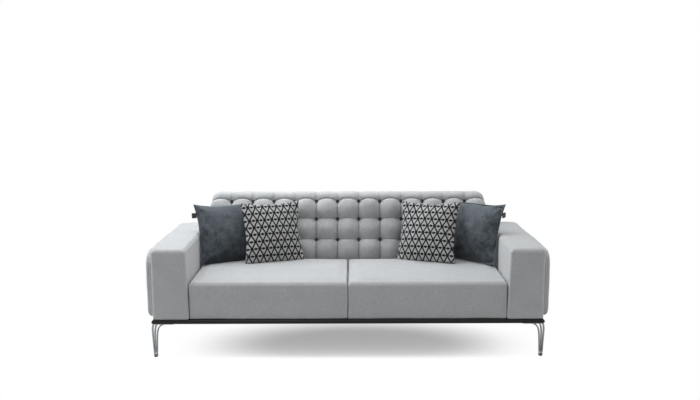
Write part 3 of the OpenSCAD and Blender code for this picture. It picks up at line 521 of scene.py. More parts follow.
tuftedBack = {      # millimetres; t runs up the lean from the seat line, then round the crest
    "halfWidth": 891.0,
    "columns": 12,
    "rows": (110.0, 242.0, 357.0),      # t of each row of buttons
    "lean": 16.0,                       # degrees from upright
    "foot": (228.0, 444.0),             # depth and height where the lean meets the seat line
    "bottom": -54.0,
    "length": 356.0,                    # straight part of the lean
    "rollRadius": 52.0,
    "rollUnder": 0.3,                   # how far the roll comes down behind, as a share of its radius
    "puff": (42.0, 0.035),              # height, and the share by which puffs differ
    "crestPuff": (21.0, 0.03),
    "crestFold": (0.07, 0.04, 0.42),    # depth of the folds over the crest, and where they even out
    "sidePleat": 11.0,                  # height of the upright pleats between two buttons
    "levelPleat": 24.0,                 # height of the level seams, which are shallow
    "bows": ((3.0, 25.0), (17.0, 43.0)),      # rise and reach of the arches of the middle and top row
    "archSeam": 5.0,                    # height of the arched seam under the crest
    "toArch": (0.5, 0.9),               # share of the top row's height where its level seam becomes that one
    "dimple": (24.0, 2.4, 0.94),        # reach, sharpness and depth of the hollow round a button
    "topDimple": (0.3, 14),             # the crest folds over the top buttons
    "tuck": 20.0,                       # the lowest puffs turn in behind the seats from here
    "endRadius": 16.0,
    "endSteps": (0.0, 0.8, 2.4, 5.0, 8.5, 12.5),
    "endClear": 14,
    "crestEnd": (66.0, 0.9),            # how far in the crest drops at its ends, and how much
    "calm": 40,                         # fine forms fade out this close to the ends
    "front": 193.0,                     # never further forward than the seats
    "behind": 60.0,                     # from the buttons to the webbing
    "step": 6.0,
    "creaseStep": 2.2,                  # finer lines beside each pleat
    "crease": (4.5, 3.4, 4.76),         # depth, and half width of the level and the upright lines
    "creaseEnds": (8, 70),              # upright lines fade out over the crest
    "crisp": (0.15, 0.5, 30),           # least and added share near the buttons, and its reach
    "power": {      # of each form's wave; less is fuller
        "across": 0.5, "seam": 0.6, "crest": 0.45, "foot": 0.4, "pleat": 0.75, "bow": 0.8},
    "wrinkle": (1.3, 20, 14, 70),       # height, distance, half width and end of the wrinkles
    "loose": ((31, 0.9, 3), (75, 1.6, 9)),      # size, depth and seed of the cloth's unevenness
}
pitch = 2 * tuftedBack["halfWidth"] / (tuftedBack["columns"] + 1)
lean = math.radians(tuftedBack["lean"])


def backPath(t, drop, b):      # depth, height and facing at t
    start = b["length"] - drop / math.cos(lean)
    turn = math.pi - lean
    s = min(t, start)
    y = b["foot"][0] + s * math.sin(lean)
    z = b["foot"][1] + s * math.cos(lean)
    if t <= start:
        return y, z, turn
    r = b["rollRadius"]
    a = turn * (1 - (t - start) / (r * turn))
    return y + r * (math.cos(lean) + math.cos(a)), z + r * (math.sin(a) - math.sin(lean)), a


def rearPlane(z, b):      # depth of the back's rear face
    return b["foot"][0] + b["behind"] / math.cos(lean) + (z - b["foot"][1]) * math.tan(lean)


def buttonPlaces(b):
    return [(k - (b["columns"] - 1) / 2) * pitch for k in range(b["columns"])]


def nearestColumn(x, b):
    last = (b["columns"] - 1) / 2
    return max(-last, min(last, round(x / pitch - 0.5) + 0.5))


def buttonDistance(x, t, b):
    dx = x - nearestColumn(x, b) * pitch
    return min(math.hypot(dx, t - row) for row in b["rows"])


def puffWave(f, power):
    return max(math.sin(math.pi * f), 0) ** power


def creaseDepth(x, t, b):      # the stitched lines between the puffs
    f = x / pitch + 0.5
    across = (f - round(f)) * pitch
    deep, wide, upWide = b["crease"]
    least, more, reach = b["crisp"]
    level = max(bell(t - row, wide) for row in b["rows"])
    upright = bell(across, upWide) * (1 - smoothStep(*b["creaseEnds"], t - b["rows"][2]))
    return deep * max(level, upright * (least + more * bell(buttonDistance(x, t, b), reach)))


def tuftHeight(x, t, end, b):
    rows = b["rows"]
    column = x / pitch + 0.5
    cell = math.floor(column)
    f = column - cell
    power = b["power"]
    across = puffWave(f, power["across"])
    seam = b["archSeam"] * puffWave(f, power["seam"])
    reach, sharp, deep = b["dimple"]
    less, fold = b["topDimple"]
    reach *= 1 - less * smoothStep(0, fold, t - rows[2])
    hollow = 1 - deep * bell(buttonDistance(x, t, b), reach, sharp)
    if t > rows[2]:                                  # crest, even along its top
        w = min((t - rows[2]) / (end - rows[2]), 1)
        high, differ = b["crestPuff"]
        plump = high * (1 + differ * math.sin(cell * 2.7 + 1.1))
        fold, first, last = b["crestFold"]
        even = smoothStep(first, last, w)
        spread = across * (1 - even) + (1 - fold + fold * across) * even
        return (plump * spread * puffWave(w, power["crest"]) + seam * (1 - w) ** 3) * hollow
    if t < rows[0]:                                  # below the last row only upright pleats
        g = max(0, min(1, (t + b["tuck"]) / (rows[0] + b["tuck"])))
        band = 0
    elif t < rows[1]:
        g, band = (t - rows[0]) / (rows[1] - rows[0]), 1
    else:
        g, band = (t - rows[1]) / (rows[2] - rows[1]), 2
    high, differ = b["puff"]
    plump = high * (1 + differ * math.sin(cell * 1.9 + band * 2.3))
    up = puffWave(g, power["across" if band else "foot"])
    side = b["sidePleat"] * puffWave(g, power["pleat"]) ** 2
    level = b["levelPleat"] * puffWave(f, power["pleat"])
    if band == 2:
        level += (seam - level) * smoothStep(*b["toArch"], g)
    base = max(side * (1 - across), level * (1 - up))
    return (plump * across * up + base * (1 - across * up)) * hollow


def buttonWrinkle(x, t, b):
    high, at, wide, end = b["wrinkle"]
    column = nearestColumn(x, b)
    dx = x - column * pitch
    total = 0
    for k, row in enumerate(b["rows"]):
        r = math.hypot(dx, t - row)
        if r < end:
            turn = math.atan2(t - row, dx)
            phase = column * 1.7 + k * 2.1
            total += (math.sin(9 * turn + phase) + 0.6 * math.sin(14 * turn - phase)) * bell(r - at, wide)
    return total * high


def backRing(x, steps, b):      # the section of the back at x
    edge = b["halfWidth"] - abs(x)
    (corner, fall), side, top = b["crestEnd"], b["endRadius"], b["rows"][2]
    drop = 0 if edge >= corner else fall * (corner - math.sqrt(corner ** 2 - (corner - edge) ** 2))
    inset = 0 if edge >= side else side - math.sqrt(max(side ** 2 - (side - edge) ** 2, 0))
    end = b["length"] - drop / math.cos(lean) + b["rollRadius"] * (math.pi - lean)
    f = x / pitch + 0.5
    wide = puffWave(f - math.floor(f), b["power"]["bow"])
    calm = min(edge / b["calm"], 1)
    ring = []
    for q in steps:
        t = q if q <= top else top + (q - top) / b["span"] * (end - top)
        bow = sum(rise * wide * bell(t - row, reach) for row, (rise, reach) in zip(b["rows"][1:], b["bows"]))
        y, z, a = backPath(min(t + bow, end), drop, b)
        soft = sum(noise.noise(Vector((x / size, t / size, seed))) * deep for size, deep, seed in b["loose"])
        fine = buttonWrinkle(x, t, b) + soft - creaseDepth(x, t, b)
        h = tuftHeight(x, t, end, b) + fine * calm - inset
        ring.append(Vector((x, max(y + h * math.cos(a), b["front"]), z + h * math.sin(a))))
    return ring


def makeTuftedBack(b):
    straight = b["length"] + b["rollRadius"] * (math.pi - lean)
    b["span"] = straight - b["rows"][2]
    fine = b["creaseStep"]
    beside = [fine * k for k in range(-4, 5)]
    steps = tickLine(b["bottom"], straight, b["step"], b["rows"], beside, 4.5 * fine, 3)
    xs = tickLine(-b["halfWidth"], b["halfWidth"], b["step"], buttonPlaces(b), beside, 4.5 * fine, 3)
    xs = [x for x in xs if abs(x) < b["halfWidth"] - b["endClear"]]
    xs = sorted(xs + [s * (b["halfWidth"] - e) for e in b["endSteps"] for s in (-1, 1)])
    base = b["foot"][1] + b["length"] * math.cos(lean) - b["rollRadius"] * (math.sin(lean) + b["rollUnder"])
    low = b["foot"][1] + b["bottom"] * math.cos(lean)
    rings = []
    for x in xs:
        ring = backRing(x, steps, b)
        back = [Vector((x, rearPlane(base, b) + b["rollRadius"], base)), Vector((x, rearPlane(base, b), base)),
                Vector((x, rearPlane(low, b), low))]
        fill = [ring[-1].lerp(back[0], k / 3) for k in (1, 2)]
        rings.append([p * mm for p in ring + fill + back])
    obj = buildRings("tuftedBack", rings)
    finishPiece(obj, paintedShadingBackFabric, ["back_tufted_cushion"], smooth=75)


makeTuftedBack(tuftedBack)
report("tufted back")


# Covered buttons, each set in its hollow

coveredButton = {      # lengths in millimetres
    "sides": 24, "skirt": 11.2,
    "steps": ((12.4, 1.0), (12.7, 2.6), (12.2, 4.2), (10.4, 5.7), (7.4, 6.9), (3.8, 7.6), (1.2, 7.8)),
    "gather": 0.35, "gathered": (0.006, 0.012),      # depth, and the radii in metres where it sets in
    "stand": -3.0, "tip": 3,
}


def makeButton(c):
    clearSelection()
    bpy.ops.mesh.primitive_circle_add(
        vertices=c["sides"], radius=c["skirt"] * mm, fill_type="NGON", location=(0, 0, 0))
    button = bpy.context.object
    editWhole(button)
    radius, height = c["skirt"], 0
    for wide, high in c["steps"]:
        bpy.ops.mesh.extrude_region_move(TRANSFORM_OT_translate={"value": (0, 0, (high - height) * mm)})
        scale = wide / radius
        bpy.ops.transform.resize(value=(scale, scale, 1), center_override=(0, 0, 0))
        radius, height = wide, high
    leaveEdit(outward=True)
    for v in button.data.vertices:      # the cloth is gathered over the rim
        r = math.hypot(v.co.x, v.co.y)
        if r > 0:
            turn = math.atan2(v.co.y, v.co.x)
            dent = math.cos(turn * c["sides"] / 2) * c["gather"] * mm * smoothStep(*c["gathered"], r)
            v.co.x -= v.co.x / r * dent
            v.co.y -= v.co.y / r * dent
    return button


def placeButtons(c, b):
    first = makeButton(c)
    copies = []
    for k, x in enumerate(buttonPlaces(b)):
        for row, t in enumerate(b["rows"]):
            y, z, turn = backPath(t, 0, b)
            out = Vector((0, math.cos(turn), math.sin(turn)))
            copy = first.copy()
            copy.data = first.data.copy()
            bpy.context.collection.objects.link(copy)
            spin = Matrix.Rotation(k * 1.3 + row * 2.1, 4, "Z")      # no two lie quite alike
            tip = math.radians(c["tip"] * math.sin(k * 2.2 + row))
            tip = Matrix.Rotation(math.pi / 2 - lean + tip, 4, "X")
            copy.data.transform(Matrix.Translation((Vector((x, y, z)) + out * c["stand"]) * mm) @ tip @ spin)
            copies.append(copy)
    bpy.data.objects.remove(first)
    buttons = joinPieces(copies)
    buttons.name = "coveredButtons"
    finishPiece(buttons, buttonFabric, ["back_buttons"], smooth=50)


placeButtons(coveredButton, tuftedBack)
report("covered buttons")


# Cloth and upholstery helpers

clothBasics = {"mass": 0.3, "shear_stiffness": 5, "use_pressure": True}


def puffWithCloth(obj, spec, hold):      # swells a closed form a little, as filling does; hold picks the sewn edge
    scene = bpy.context.scene
    scene.frame_set(1)
    before = [v.co.copy() for v in obj.data.vertices]
    makeActive(obj)
    cloth = obj.modifiers.new("filling", "CLOTH")
    for key, value in {**clothBasics, **spec["settings"]}.items():
        setattr(cloth.settings, key, value)
    cloth.settings.compression_stiffness = cloth.settings.tension_stiffness
    cloth.settings.effector_weights.gravity = 0
    cloth.collision_settings.use_collision = False
    group = obj.vertex_groups.new(name="sewn")
    group.add([v.index for v in obj.data.vertices if hold(v.co)], 1, "REPLACE")
    cloth.settings.vertex_group_mass = "sewn"
    cloth.point_cache.frame_start = 1
    cloth.point_cache.frame_end = spec["frames"]
    for f in range(1, spec["frames"] + 1):
        scene.frame_set(f)
    bpy.ops.object.modifier_apply(modifier=cloth.name)
    obj.vertex_groups.clear()
    scene.frame_set(1)
    cap = spec["cap"]
    for v, old in zip(obj.data.vertices, before):
        move = v.co - old
        if move.length > cap:
            v.co = old + move * (cap / move.length)
    obj.data.update()


def clampInto(obj, low, high):
    for v in obj.data.vertices:
        for k in range(3):
            v.co[k] = min(max(v.co[k], low[k]), high[k])
    obj.data.update()


def looseCloth(obj, size, depth, seed):      # faint unevenness of stretched cloth
    def shift(co, normal):
        p = co / size + Vector((seed, seed * 2, seed * 3))
        return normal * (noise.noise(p) * depth + noise.noise(p * 2.7) * depth * 0.4)
    moveVertices(obj, shift)


# Upholstered blocks: rings round a plan with rounded corners, closed over the top

edgeAngles = (10, 20, 30, 37, 41, 43.5, 45, 46.5, 49, 53, 60, 70, 80, 90)
blockFoot = ((0.006, 0), (0.0015, 0.0025), (0, 0.008))      # inset and height of the turned-under lower edge
seamShape = {-3: 0.12, -2: 0.35, -1: 0.8, 0: 1.0, 1: 0.8, 2: 0.35, 3: 0.12}
seamFacing = (0.35, 0.6)      # a seam sets in where its face turns this far towards the axis
leastCorner, cornerRoom, topRoom = 0.003, 0.98, 0.975


def planRing(p, edgeIn, topIn=0):      # drawn in by the edge's rounding, then towards the middle
    (x0, x1), (y0, y1) = p["x"], p["y"]
    front, right, rear, left = p["draw"]
    x0, x1 = x0 + left * edgeIn + topIn, x1 - right * edgeIn - topIn
    y0, y1 = y0 + front * edgeIn + topIn, y1 - rear * edgeIn - topIn
    room = min(x1 - x0, y1 - y0) / 2
    arcs = []
    for k, (radius, grow) in enumerate(zip(p["corners"], p["grow"])):
        r = min(max(radius + grow * edgeIn, leastCorner), room * cornerRoom)
        cx = x0 + r if k in (0, 3) else x1 - r
        cy = y0 + r if k in (0, 1) else y1 - r
        turns = [math.radians(180 + 90 * (k + i / p["arc"])) for i in range(p["arc"] + 1)]
        arcs.append([(cx + r * math.cos(a), cy + r * math.sin(a)) for a in turns])
    points = []
    for k in range(4):
        a, b = arcs[k][-1], arcs[(k + 1) % 4][0]
        points += arcs[k]
        count = p["sides"][k % 2]
        points += [(a[0] + (b[0] - a[0]) * i / count, a[1] + (b[1] - a[1]) * i / count) for i in range(1, count)]
    return points


def blockLevels(p):      # each level is its edge inset, top inset and height
    r, step = p["edge"], p["step"]
    levels = [(inset, 0, p["floor"] + up) for inset, up in blockFoot]
    low, high = levels[-1][2], p["top"] - r
    count = max(int((high - low) / step), 1)
    levels += [(0, 0, low + (high - low) * i / count) for i in range(1, count + 1)]
    p["seamLevel"] = len(levels) + edgeAngles.index(45)
    for angle in edgeAngles:
        a = math.radians(angle)
        levels.append((r * (1 - math.cos(a)), 0, high + r * math.sin(a)))
    ring = planRing(p, r)
    room = min(max(q[k] for q in ring) - min(q[k] for q in ring) for k in (0, 1)) / 2
    count = int(room / step)
    levels += [(r, room * topRoom * i / count, p["top"]) for i in range(1, count + 1)]
    return levels


def makeBlock(name, p):
    rings = [[Vector((x, y, z)) for x, y in planRing(p, edgeIn, topIn)] for edgeIn, topIn, z in blockLevels(p)]
    p["ringSize"] = len(rings[0])
    return buildRings(name, rings)


def pressSeam(obj, p, axis):      # a stitched line pulled into the edge of the face on that axis
    mesh, n = obj.data, p["ringSize"]
    moves = {}
    for k, share in seamShape.items():
        for i in range(n):
            v = mesh.vertices[(p["seamLevel"] + k) * n + i]
            moves[v.index] = v.co - v.normal * p["seam"] * share * smoothStep(*seamFacing, -v.normal[axis])
    for index, co in moves.items():
        mesh.vertices[index].co = co
    mesh.update()


def crownTop(obj, p):
    (x0, x1), (y0, y1) = p["x"], p["y"]

    def shift(co, normal):
        u = max(0, 1 - (2 * (co.x - x0) / (x1 - x0) - 1) ** 4)
        v = max(0, 1 - (2 * (co.y - y0) / (y1 - y0) - 1) ** 4)
        return Vector((0, 0, p["crown"] * u * v * smoothStep(p["top"] - p["edge"], p["top"], co.z)))

    moveVertices(obj, shift)


def bulgeFace(obj, axis, at, reach, depth, spans):      # a face swells a little between its edges
    def shift(co, normal):
        share = max(0, 1 - abs(co[axis] - at) / reach)
        for k, low, high in spans:
            q = 2 * (co[k] - low) / (high - low) - 1
            share *= max(0, 1 - q * q)
        return normal * depth * share

    moveVertices(obj, shift)


# Arms: tight covers over boards, narrower at the top

armShape = {
    "x": (0.907, 1.115), "floor": 0.2265, "top": 0.634, "edge": 0.024, "step": 0.010,
    "taper": 0.011, "crown": 0.0035,
    "frontBulge": (0.03, 0.0022), "innerBulge": (0.02, 0.0012),      # reach and depth
    "joint": 0.141, "valley": (0.55, 0.03),      # where two covers meet, the rounding shrinks to a shallow valley
    "loose": ((0.11, 0.0011), (0.035, 0.0004)),
}
armCovers = dict(
    armShape, y=(-0.431, 0.1404), corners=(0.011, 0.016, 0.003, 0.005), draw=(1.0, 0.75, 0.14, 0.9),
    grow=(0.45, 0.45, 0.0, 0.3), arc=6, sides=(20, 54), seam=0.0026)
cornerCovers = dict(
    armShape, y=(0.1414, 0.4308), corners=(0.005, 0.003, 0.044, 0.012), draw=(0.14, 0.75, 1.1, 0.9),
    grow=(0.3, 0.0, 0.45, 0.45), arc=8, sides=(20, 28), seam=0.0022)


def makeArm(name, p, seed):
    arm = makeBlock(name, p)
    crownTop(arm, p)
    (x0, x1), (floor, top) = p["x"], (p["floor"], p["top"])
    bulgeFace(arm, 1, p["y"][0], *p["frontBulge"], ((0, x0, x1), (2, floor, top)))
    bulgeFace(arm, 0, x0, *p["innerBulge"], ((1, *p["y"]), (2, floor, top)))
    pressSeam(arm, p, 0)
    less, reach = p["valley"]
    for v in arm.data.vertices:
        if v.co.z > top - p["edge"]:
            v.co.z = top - (top - v.co.z) * (1 - less * smoothStep(reach, 0.0, abs(v.co.y - p["joint"])))
    for k, (size, depth) in enumerate(p["loose"]):
        looseCloth(arm, size, depth, seed + 3 * k)
    moveVertices(arm, lambda co, normal: Vector((
        p["taper"] * (co.z - floor) / (top - floor) * (x1 - co.x) / (x1 - x0), 0, 0)))
    return arm


finishPair(makeArm("armCoverRight", armCovers, 1.0), "armCoverLeft",
           ["arm_cover_left", "arm_cover_right"], greyFabric)
finishPair(makeArm("cornerCoverRight", cornerCovers, 4.0), "cornerCoverLeft",
           ["corner_cover_left", "corner_cover_right"], greyFabric)
report("arms")


# Side pads: flat pillows with a welt, on the outer faces of the arms

sidePads = {
    "inner": 1.1153, "x": (-0.413, 0.411), "y": (0.2285, 0.616),      # depth, then height
    "corners": (0.064, 0.064, 0.085, 0.085), "draw": (1, 1, 1, 1), "grow": (-1.0, -1.0, -1.0, -1.0),
    "arc": 12, "sides": (70, 28),
    "profile": (      # inset and distance from the arm: rim, welt between two seams, crown
        (0.012, 0.0), (0.003, 0.0012), (0.0006, 0.005), (0.0, 0.0085), (0.0010, 0.0115), (0.0042, 0.0128),
        (0.0030, 0.0140), (0.0006, 0.0152), (0.0, 0.0168), (0.0006, 0.0184), (0.0032, 0.0196),
        (0.0046, 0.0206), (0.0030, 0.0226), (0.0032, 0.0248), (0.0062, 0.0278), (0.0108, 0.0302),
        (0.0170, 0.0319), (0.0250, 0.0330),
    ),
    "crown": 0.0022, "crownRings": 16, "middle": 0.18,
    "pucker": {"deep": 0.0003, "waves": ((1.3, 310), (-1, 190)), "from": (0.001, 0.008), "to": (0.035, 0.01)},
    "thin": (0.62, (-0.15, 0.40), (0.42, 0.60)),      # share, and where in depth and height
    "loose": (0.09, 0.0016),
}


def makeSidePad(p, seed):
    profile = list(p["profile"])
    inset, rise = profile[-1]
    for i in range(1, p["crownRings"] + 1):
        q = i / p["crownRings"]
        profile.append((inset + (p["middle"] - inset) * q, rise + p["crown"] * (1 - (1 - q) ** 2)))
    rings = [[Vector((p["inner"] + out, y, z)) for y, z in planRing(p, edgeIn)] for edgeIn, out in profile]
    pad = buildRings("sidePadRight", rings)

    def pucker(co, normal):      # the seam draws the cloth in small folds
        edge = min(co.y - p["x"][0], p["x"][1] - co.y, co.z - p["y"][0], p["y"][1] - co.z)
        k = p["pucker"]
        fold = sum(math.sin((co.y + co.z * slope) * count) for slope, count in k["waves"])
        return normal * fold * k["deep"] * smoothStep(*k["from"], edge) * smoothStep(*k["to"], edge)

    def thinner(co, normal):      # the filling thins towards the upper rear
        share, depth, height = p["thin"]
        share *= smoothStep(*depth, co.y) * smoothStep(*height, co.z)
        return Vector(((p["inner"] - co.x) * share, 0, 0))

    moveVertices(pad, pucker)
    moveVertices(pad, thinner)
    looseCloth(pad, *p["loose"], seed)
    clampInto(pad, (p["inner"], -9, 0), (9, 9, 9))
    return pad


finishPair(makeSidePad(sidePads, 7.0), "sidePadLeft", ["arm_side_pad_left", "arm_side_pad_right"], paintedLightPadFabric)
report("side pads")


# Seats

seatCushions = {
    "x": (0.0018, 0.9054), "y": (-0.4215, 0.191), "floor": 0.2266, "top": 0.4405,
    "corners": (0.007, 0.008, 0.008, 0.007), "draw": (1.0, 0.65, 0.9, 0.5), "grow": (0.6, 0.6, 0.6, 0.6),
    "edge": 0.027, "arc": 6, "sides": (84, 56), "step": 0.011, "seam": 0.0009, "crown": 0.003,
    "cloth": {"frames": 12, "cap": 0.0075, "settings": {
        "uniform_pressure_force": 5, "tension_stiffness": 12, "bending_stiffness": 0.4, "quality": 4}},
    "freeTop": (0.004, 0.03), "freeFront": (0.003, 0.02, 0.035),      # depth, then the borders that are held
    "loose": ((0.16, 0.0020), (0.045, 0.0007)),
    "low": (0.001, -0.4235, 0.2266), "high": (0.9062, 0.1915, 0.4535),      # room of the right seat
}


def makeSeat(p):
    seat = makeBlock("seatCushionRight", p)
    crownTop(seat, p)
    (x0, x1), (y0, y1) = p["x"], p["y"]

    def sewn(co):      # only the top and the front panel are free to swell
        deep, rim = p["freeTop"]
        top = co.z > p["top"] - deep and x0 + rim < co.x < x1 - rim and y0 + rim < co.y < y1 - rim
        deep, rim, upper = p["freeFront"]
        front = co.y < y0 + deep and x0 + rim < co.x < x1 - rim and p["floor"] + rim < co.z < p["top"] - upper
        return not (top or front)

    puffWithCloth(seat, p["cloth"], sewn)
    pressSeam(seat, p, 1)
    return seat


def finishSeat(obj, seed, node, p, low, high):
    for k, (size, depth) in enumerate(p["loose"]):
        looseCloth(obj, size, depth, seed + 5 * k)
    clampInto(obj, low, high)
    finishPiece(obj, greyFabric, [node], smooth=70)


rightSeat = makeSeat(seatCushions)
leftSeat = mirrorPiece(rightSeat, "seatCushionLeft")
(seatLow, *lows), (seatHigh, *highs) = seatCushions["low"], seatCushions["high"]
finishSeat(leftSeat, 11.0, "seat_cover_left", seatCushions, (-seatHigh, *lows), (-seatLow, *highs))
finishSeat(rightSeat, 17.0, "seat_cover_right", seatCushions, (seatLow, *lows), (seatHigh, *highs))
report("seats")


# End gussets: cloth that closes each end of the back, from the tufting to the rear panel

endGusset = {
    "x": (0.8860, 0.9062), "proud": 0.8925, "low": 0.560, "high": 0.7630, "rear": 0.4186,
    "edge": 0.002, "overlap": 0.016, "shoulder": 0.010, "hidden": 0.02, "widens": (0.25, 1),
}


def makeGusset(g, b, name, side):
    def front(z):
        return rearPlane(z / mm, b) * mm - g["overlap"]

    x0, x1 = g["x"]
    gusset = startBox(name, (x0, 0, g["low"]), (x1, g["rear"], g["high"]))
    for v in gusset.data.vertices:
        if v.co.y < g["rear"] / 2:
            v.co.y = front(v.co.z)
    editWhole(gusset)
    bpy.ops.mesh.bevel(offset=g["edge"], segments=2, profile=0.5, affect="EDGES")
    bpy.ops.mesh.select_all(action="SELECT")
    bpy.ops.mesh.subdivide(number_cuts=8)
    leaveEdit()
    for v in gusset.data.vertices:
        u = min(max((v.co.y - front(v.co.z)) / (g["rear"] - front(v.co.z)), 0), 1)
        over = min(max(v.co.z - (g["high"] - g["shoulder"]), 0), g["shoulder"])
        wide = g["proud"] + (x1 - g["proud"]) * smoothStep(*g["widens"], u)      # wider towards the rear panel
        wide -= g["shoulder"] - math.sqrt(max(g["shoulder"] ** 2 - over ** 2, 0))
        inside = x0 - g["hidden"]
        v.co.x = side * (inside + (wide - inside) * (v.co.x - x0) / (x1 - x0))
    if side < 0:
        gusset.data.flip_normals()
    finishPiece(gusset, paintedShadingBackFabric, smooth=50)


makeGusset(endGusset, tuftedBack, "backGussetLeft", -1)
makeGusset(endGusset, tuftedBack, "backGussetRight", 1)
report("end gussets")


# Legs: three flat chrome bars that meet in a small foot

chromeLeg = {      # millimetres, for the front right leg: across from the foot, height, half width
    "foot": (1109.0, 400.0),
    "bars": (
        ((8.2, 9, 4.0), (9.4, 50, 4.3), (11.6, 100, 4.7), (13.6, 138, 5.0), (14.4, 162, 5.2), (12.4, 182, 5.3),
         (3.5, 201, 5.4)),
        ((0, 9, 4.0), (0.4, 60, 4.3), (1.0, 110, 4.8), (0.8, 146, 5.0), (-2, 170, 5.1), (-7.5, 187, 5.1),
         (-18, 201, 5.2)),
        ((-8.2, 9, 4.0), (-9.0, 60, 4.2), (-10.6, 110, 4.6), (-13.2, 146, 4.7), (-20, 170, 4.6), (-32, 185, 4.3),
         (-50, 193, 3.9), (-72, 196.5, 3.0)),
    ),
    "deep": (5.0, 8.0),      # half depth at the foot and at the rail
    "rail": 200.0, "top": 200.5,
    "sectionSides": 12, "cornerShare": 0.55,
    "collar": {"sides": 32, "wide": 13.0, "deep": 8.0, "low": 5.5, "high": 13.0, "round": 1.6},
}


def sweepBar(name, points, c):
    def depth(z):
        return c["deep"][0] + (c["deep"][1] - c["deep"][0]) * z / c["rail"]

    def section(q, half):      # flat, with rounded corners
        return math.copysign(abs(q) ** c["cornerShare"], q) * half * mm

    clearSelection()
    x, z, half = points[0]
    bpy.ops.mesh.primitive_circle_add(
        vertices=c["sectionSides"], radius=1, fill_type="NGON", location=(0, 0, 0))
    bar = bpy.context.object
    bar.name = name
    for v in bar.data.vertices:
        v.co = (section(v.co.x, half) + x * mm, section(v.co.y, c["deep"][0]), z * mm)
    editWhole(bar)
    turned = 0
    for k, (nx, nz, wide) in enumerate(points[1:], 1):
        ox, oz, narrow = points[k - 1]
        bpy.ops.mesh.extrude_region_move(TRANSFORM_OT_translate={"value": ((nx - ox) * mm, 0, (nz - oz) * mm)})
        after = points[min(k + 1, len(points) - 1)]
        slope = math.atan2(after[0] - ox, after[1] - oz)
        place = (nx * mm, 0, nz * mm)
        bpy.ops.transform.rotate(value=-(slope - turned), orient_axis="Y", center_override=place)
        bpy.ops.transform.resize(
            value=(wide / narrow, depth(nz) / depth(oz), wide / narrow), center_override=place)
        turned = slope
    leaveEdit(outward=True)
    return bar


def makeCollar(c):
    clearSelection()
    bpy.ops.mesh.primitive_cylinder_add(vertices=c["sides"], radius=1, depth=1, location=(0, 0, 0))
    collar = bpy.context.object
    for v in collar.data.vertices:
        v.co = (v.co.x * c["wide"] * mm, v.co.y * c["deep"] * mm, (c["low"] if v.co.z < 0 else c["high"]) * mm)
    addModifier(collar, "BEVEL", width=c["round"] * mm, segments=3, limit_method="ANGLE")
    applyModifiers(collar)
    return collar


def makeLeg(c, name, node, sideX, sideY):
    leg = joinPieces([sweepBar(name, bar, c) for bar in c["bars"]] + [makeCollar(c["collar"])])
    addModifier(leg, "SUBSURF", levels=2, render_levels=2)
    applyModifiers(leg)
    for v in leg.data.vertices:
        v.co.x = sideX * (v.co.x + c["foot"][0] * mm)
        v.co.y = sideY * (v.co.y + c["foot"][1] * mm)
        v.co.z = min(v.co.z, c["top"] * mm)
    if sideX * sideY < 0:
        leg.data.flip_normals()
    finishPiece(leg, chromeMetal, [node], smooth=60)


for along, sideY in (("Front", -1), ("Rear", 1)):
    for across, sideX in (("Left", -1), ("Right", 1)):
        makeLeg(chromeLeg, "leg" + along + across, f"leg_{along}_{across}".lower(), sideX, sideY)
report("legs")


# Rear panel: cloth over board and thin wadding, with two upright seams and a welt round its edge

rearPanel = {
    "x": (-0.9066, 0.9066), "z": (0.2266, 0.7555), "inside": 0.4190, "outside": 0.4318,
    "step": 0.016, "fine": (0.0, 0.0012, 0.0025, 0.0045, 0.007),
    "seams": (-0.304, 0.304), "seamDepth": 0.0024, "seamReach": 0.0035, "seamRise": 0.09,
    "edge": (0.007, 0.9), "welt": 0.012, "weltReach": 0.003, "weltShare": 0.8, "weltRise": 6,
    "puff": 0.0016, "uneven": (8, 0.0008, 5),      # fineness, depth and seed
}


def panelDepth(x, z, p):
    (x0, x1), (z0, z1), rim = p["x"], p["z"], p["welt"]
    edge = min(x - x0, x1 - x, z - z0, z1 - z)
    radius, share = p["edge"]
    turned = radius * share * (1 - math.sqrt(1 - (1 - min(edge / radius, 1)) ** 2))
    gap = min(abs(x - q) for q in p["seams"])
    seam = bell(gap, p["seamReach"]) * smoothStep(rim * 0.7, rim, edge)
    groove = max(seam, bell(edge - rim, p["weltReach"]) * p["weltShare"])
    inner = smoothStep(rim, rim * p["weltRise"], edge) * smoothStep(0, p["seamRise"], gap)
    size, deep, seed = p["uneven"]
    rise = (p["puff"] + noise.noise(Vector((x * size, z * size, seed))) * deep) * inner - p["puff"]
    return p["outside"] - turned + rise - p["seamDepth"] * groove


def makeRearPanel(p):
    (x0, x1), (z0, z1), rim = p["x"], p["z"], p["welt"]
    beside = [d * side for d in p["fine"] for side in (-1, 1)]
    clear = p["fine"][-1] * 1.5
    xs = tickLine(x0, x1, p["step"], [*p["seams"], x0, x1, x0 + rim, x1 - rim], beside, clear, 6)
    zs = tickLine(z0, z1, p["step"], [z0, z1, z0 + rim, z1 - rim], beside, clear, 6)
    mesh = bmesh.new()
    bridgeRows(mesh, [[mesh.verts.new((x, panelDepth(x, z, p), z)) for x in xs] for z in zs], flip=True)
    panel = meshObject("rearPanelCover", mesh)
    makeActive(panel)
    bpy.ops.object.mode_set(mode="EDIT")
    bpy.ops.mesh.select_all(action="DESELECT")
    bpy.ops.mesh.select_mode(type="EDGE")
    bpy.ops.mesh.select_non_manifold()
    bpy.ops.mesh.extrude_region_move(TRANSFORM_OT_translate={"value": (0, p["inside"] - p["outside"], 0)})
    leaveEdit()
    for v in panel.data.vertices:
        if v.select:
            v.co.y = p["inside"]
    bpy.ops.object.mode_set(mode="EDIT")
    bpy.ops.mesh.fill()
    leaveEdit(outward=True)
    finishPiece(panel, greyFabric, ["back_rear_panel"], smooth=60)


makeRearPanel(rearPanel)
report("rear panel")


# Dust cover: thin cloth under the frame, slightly slack between the rails

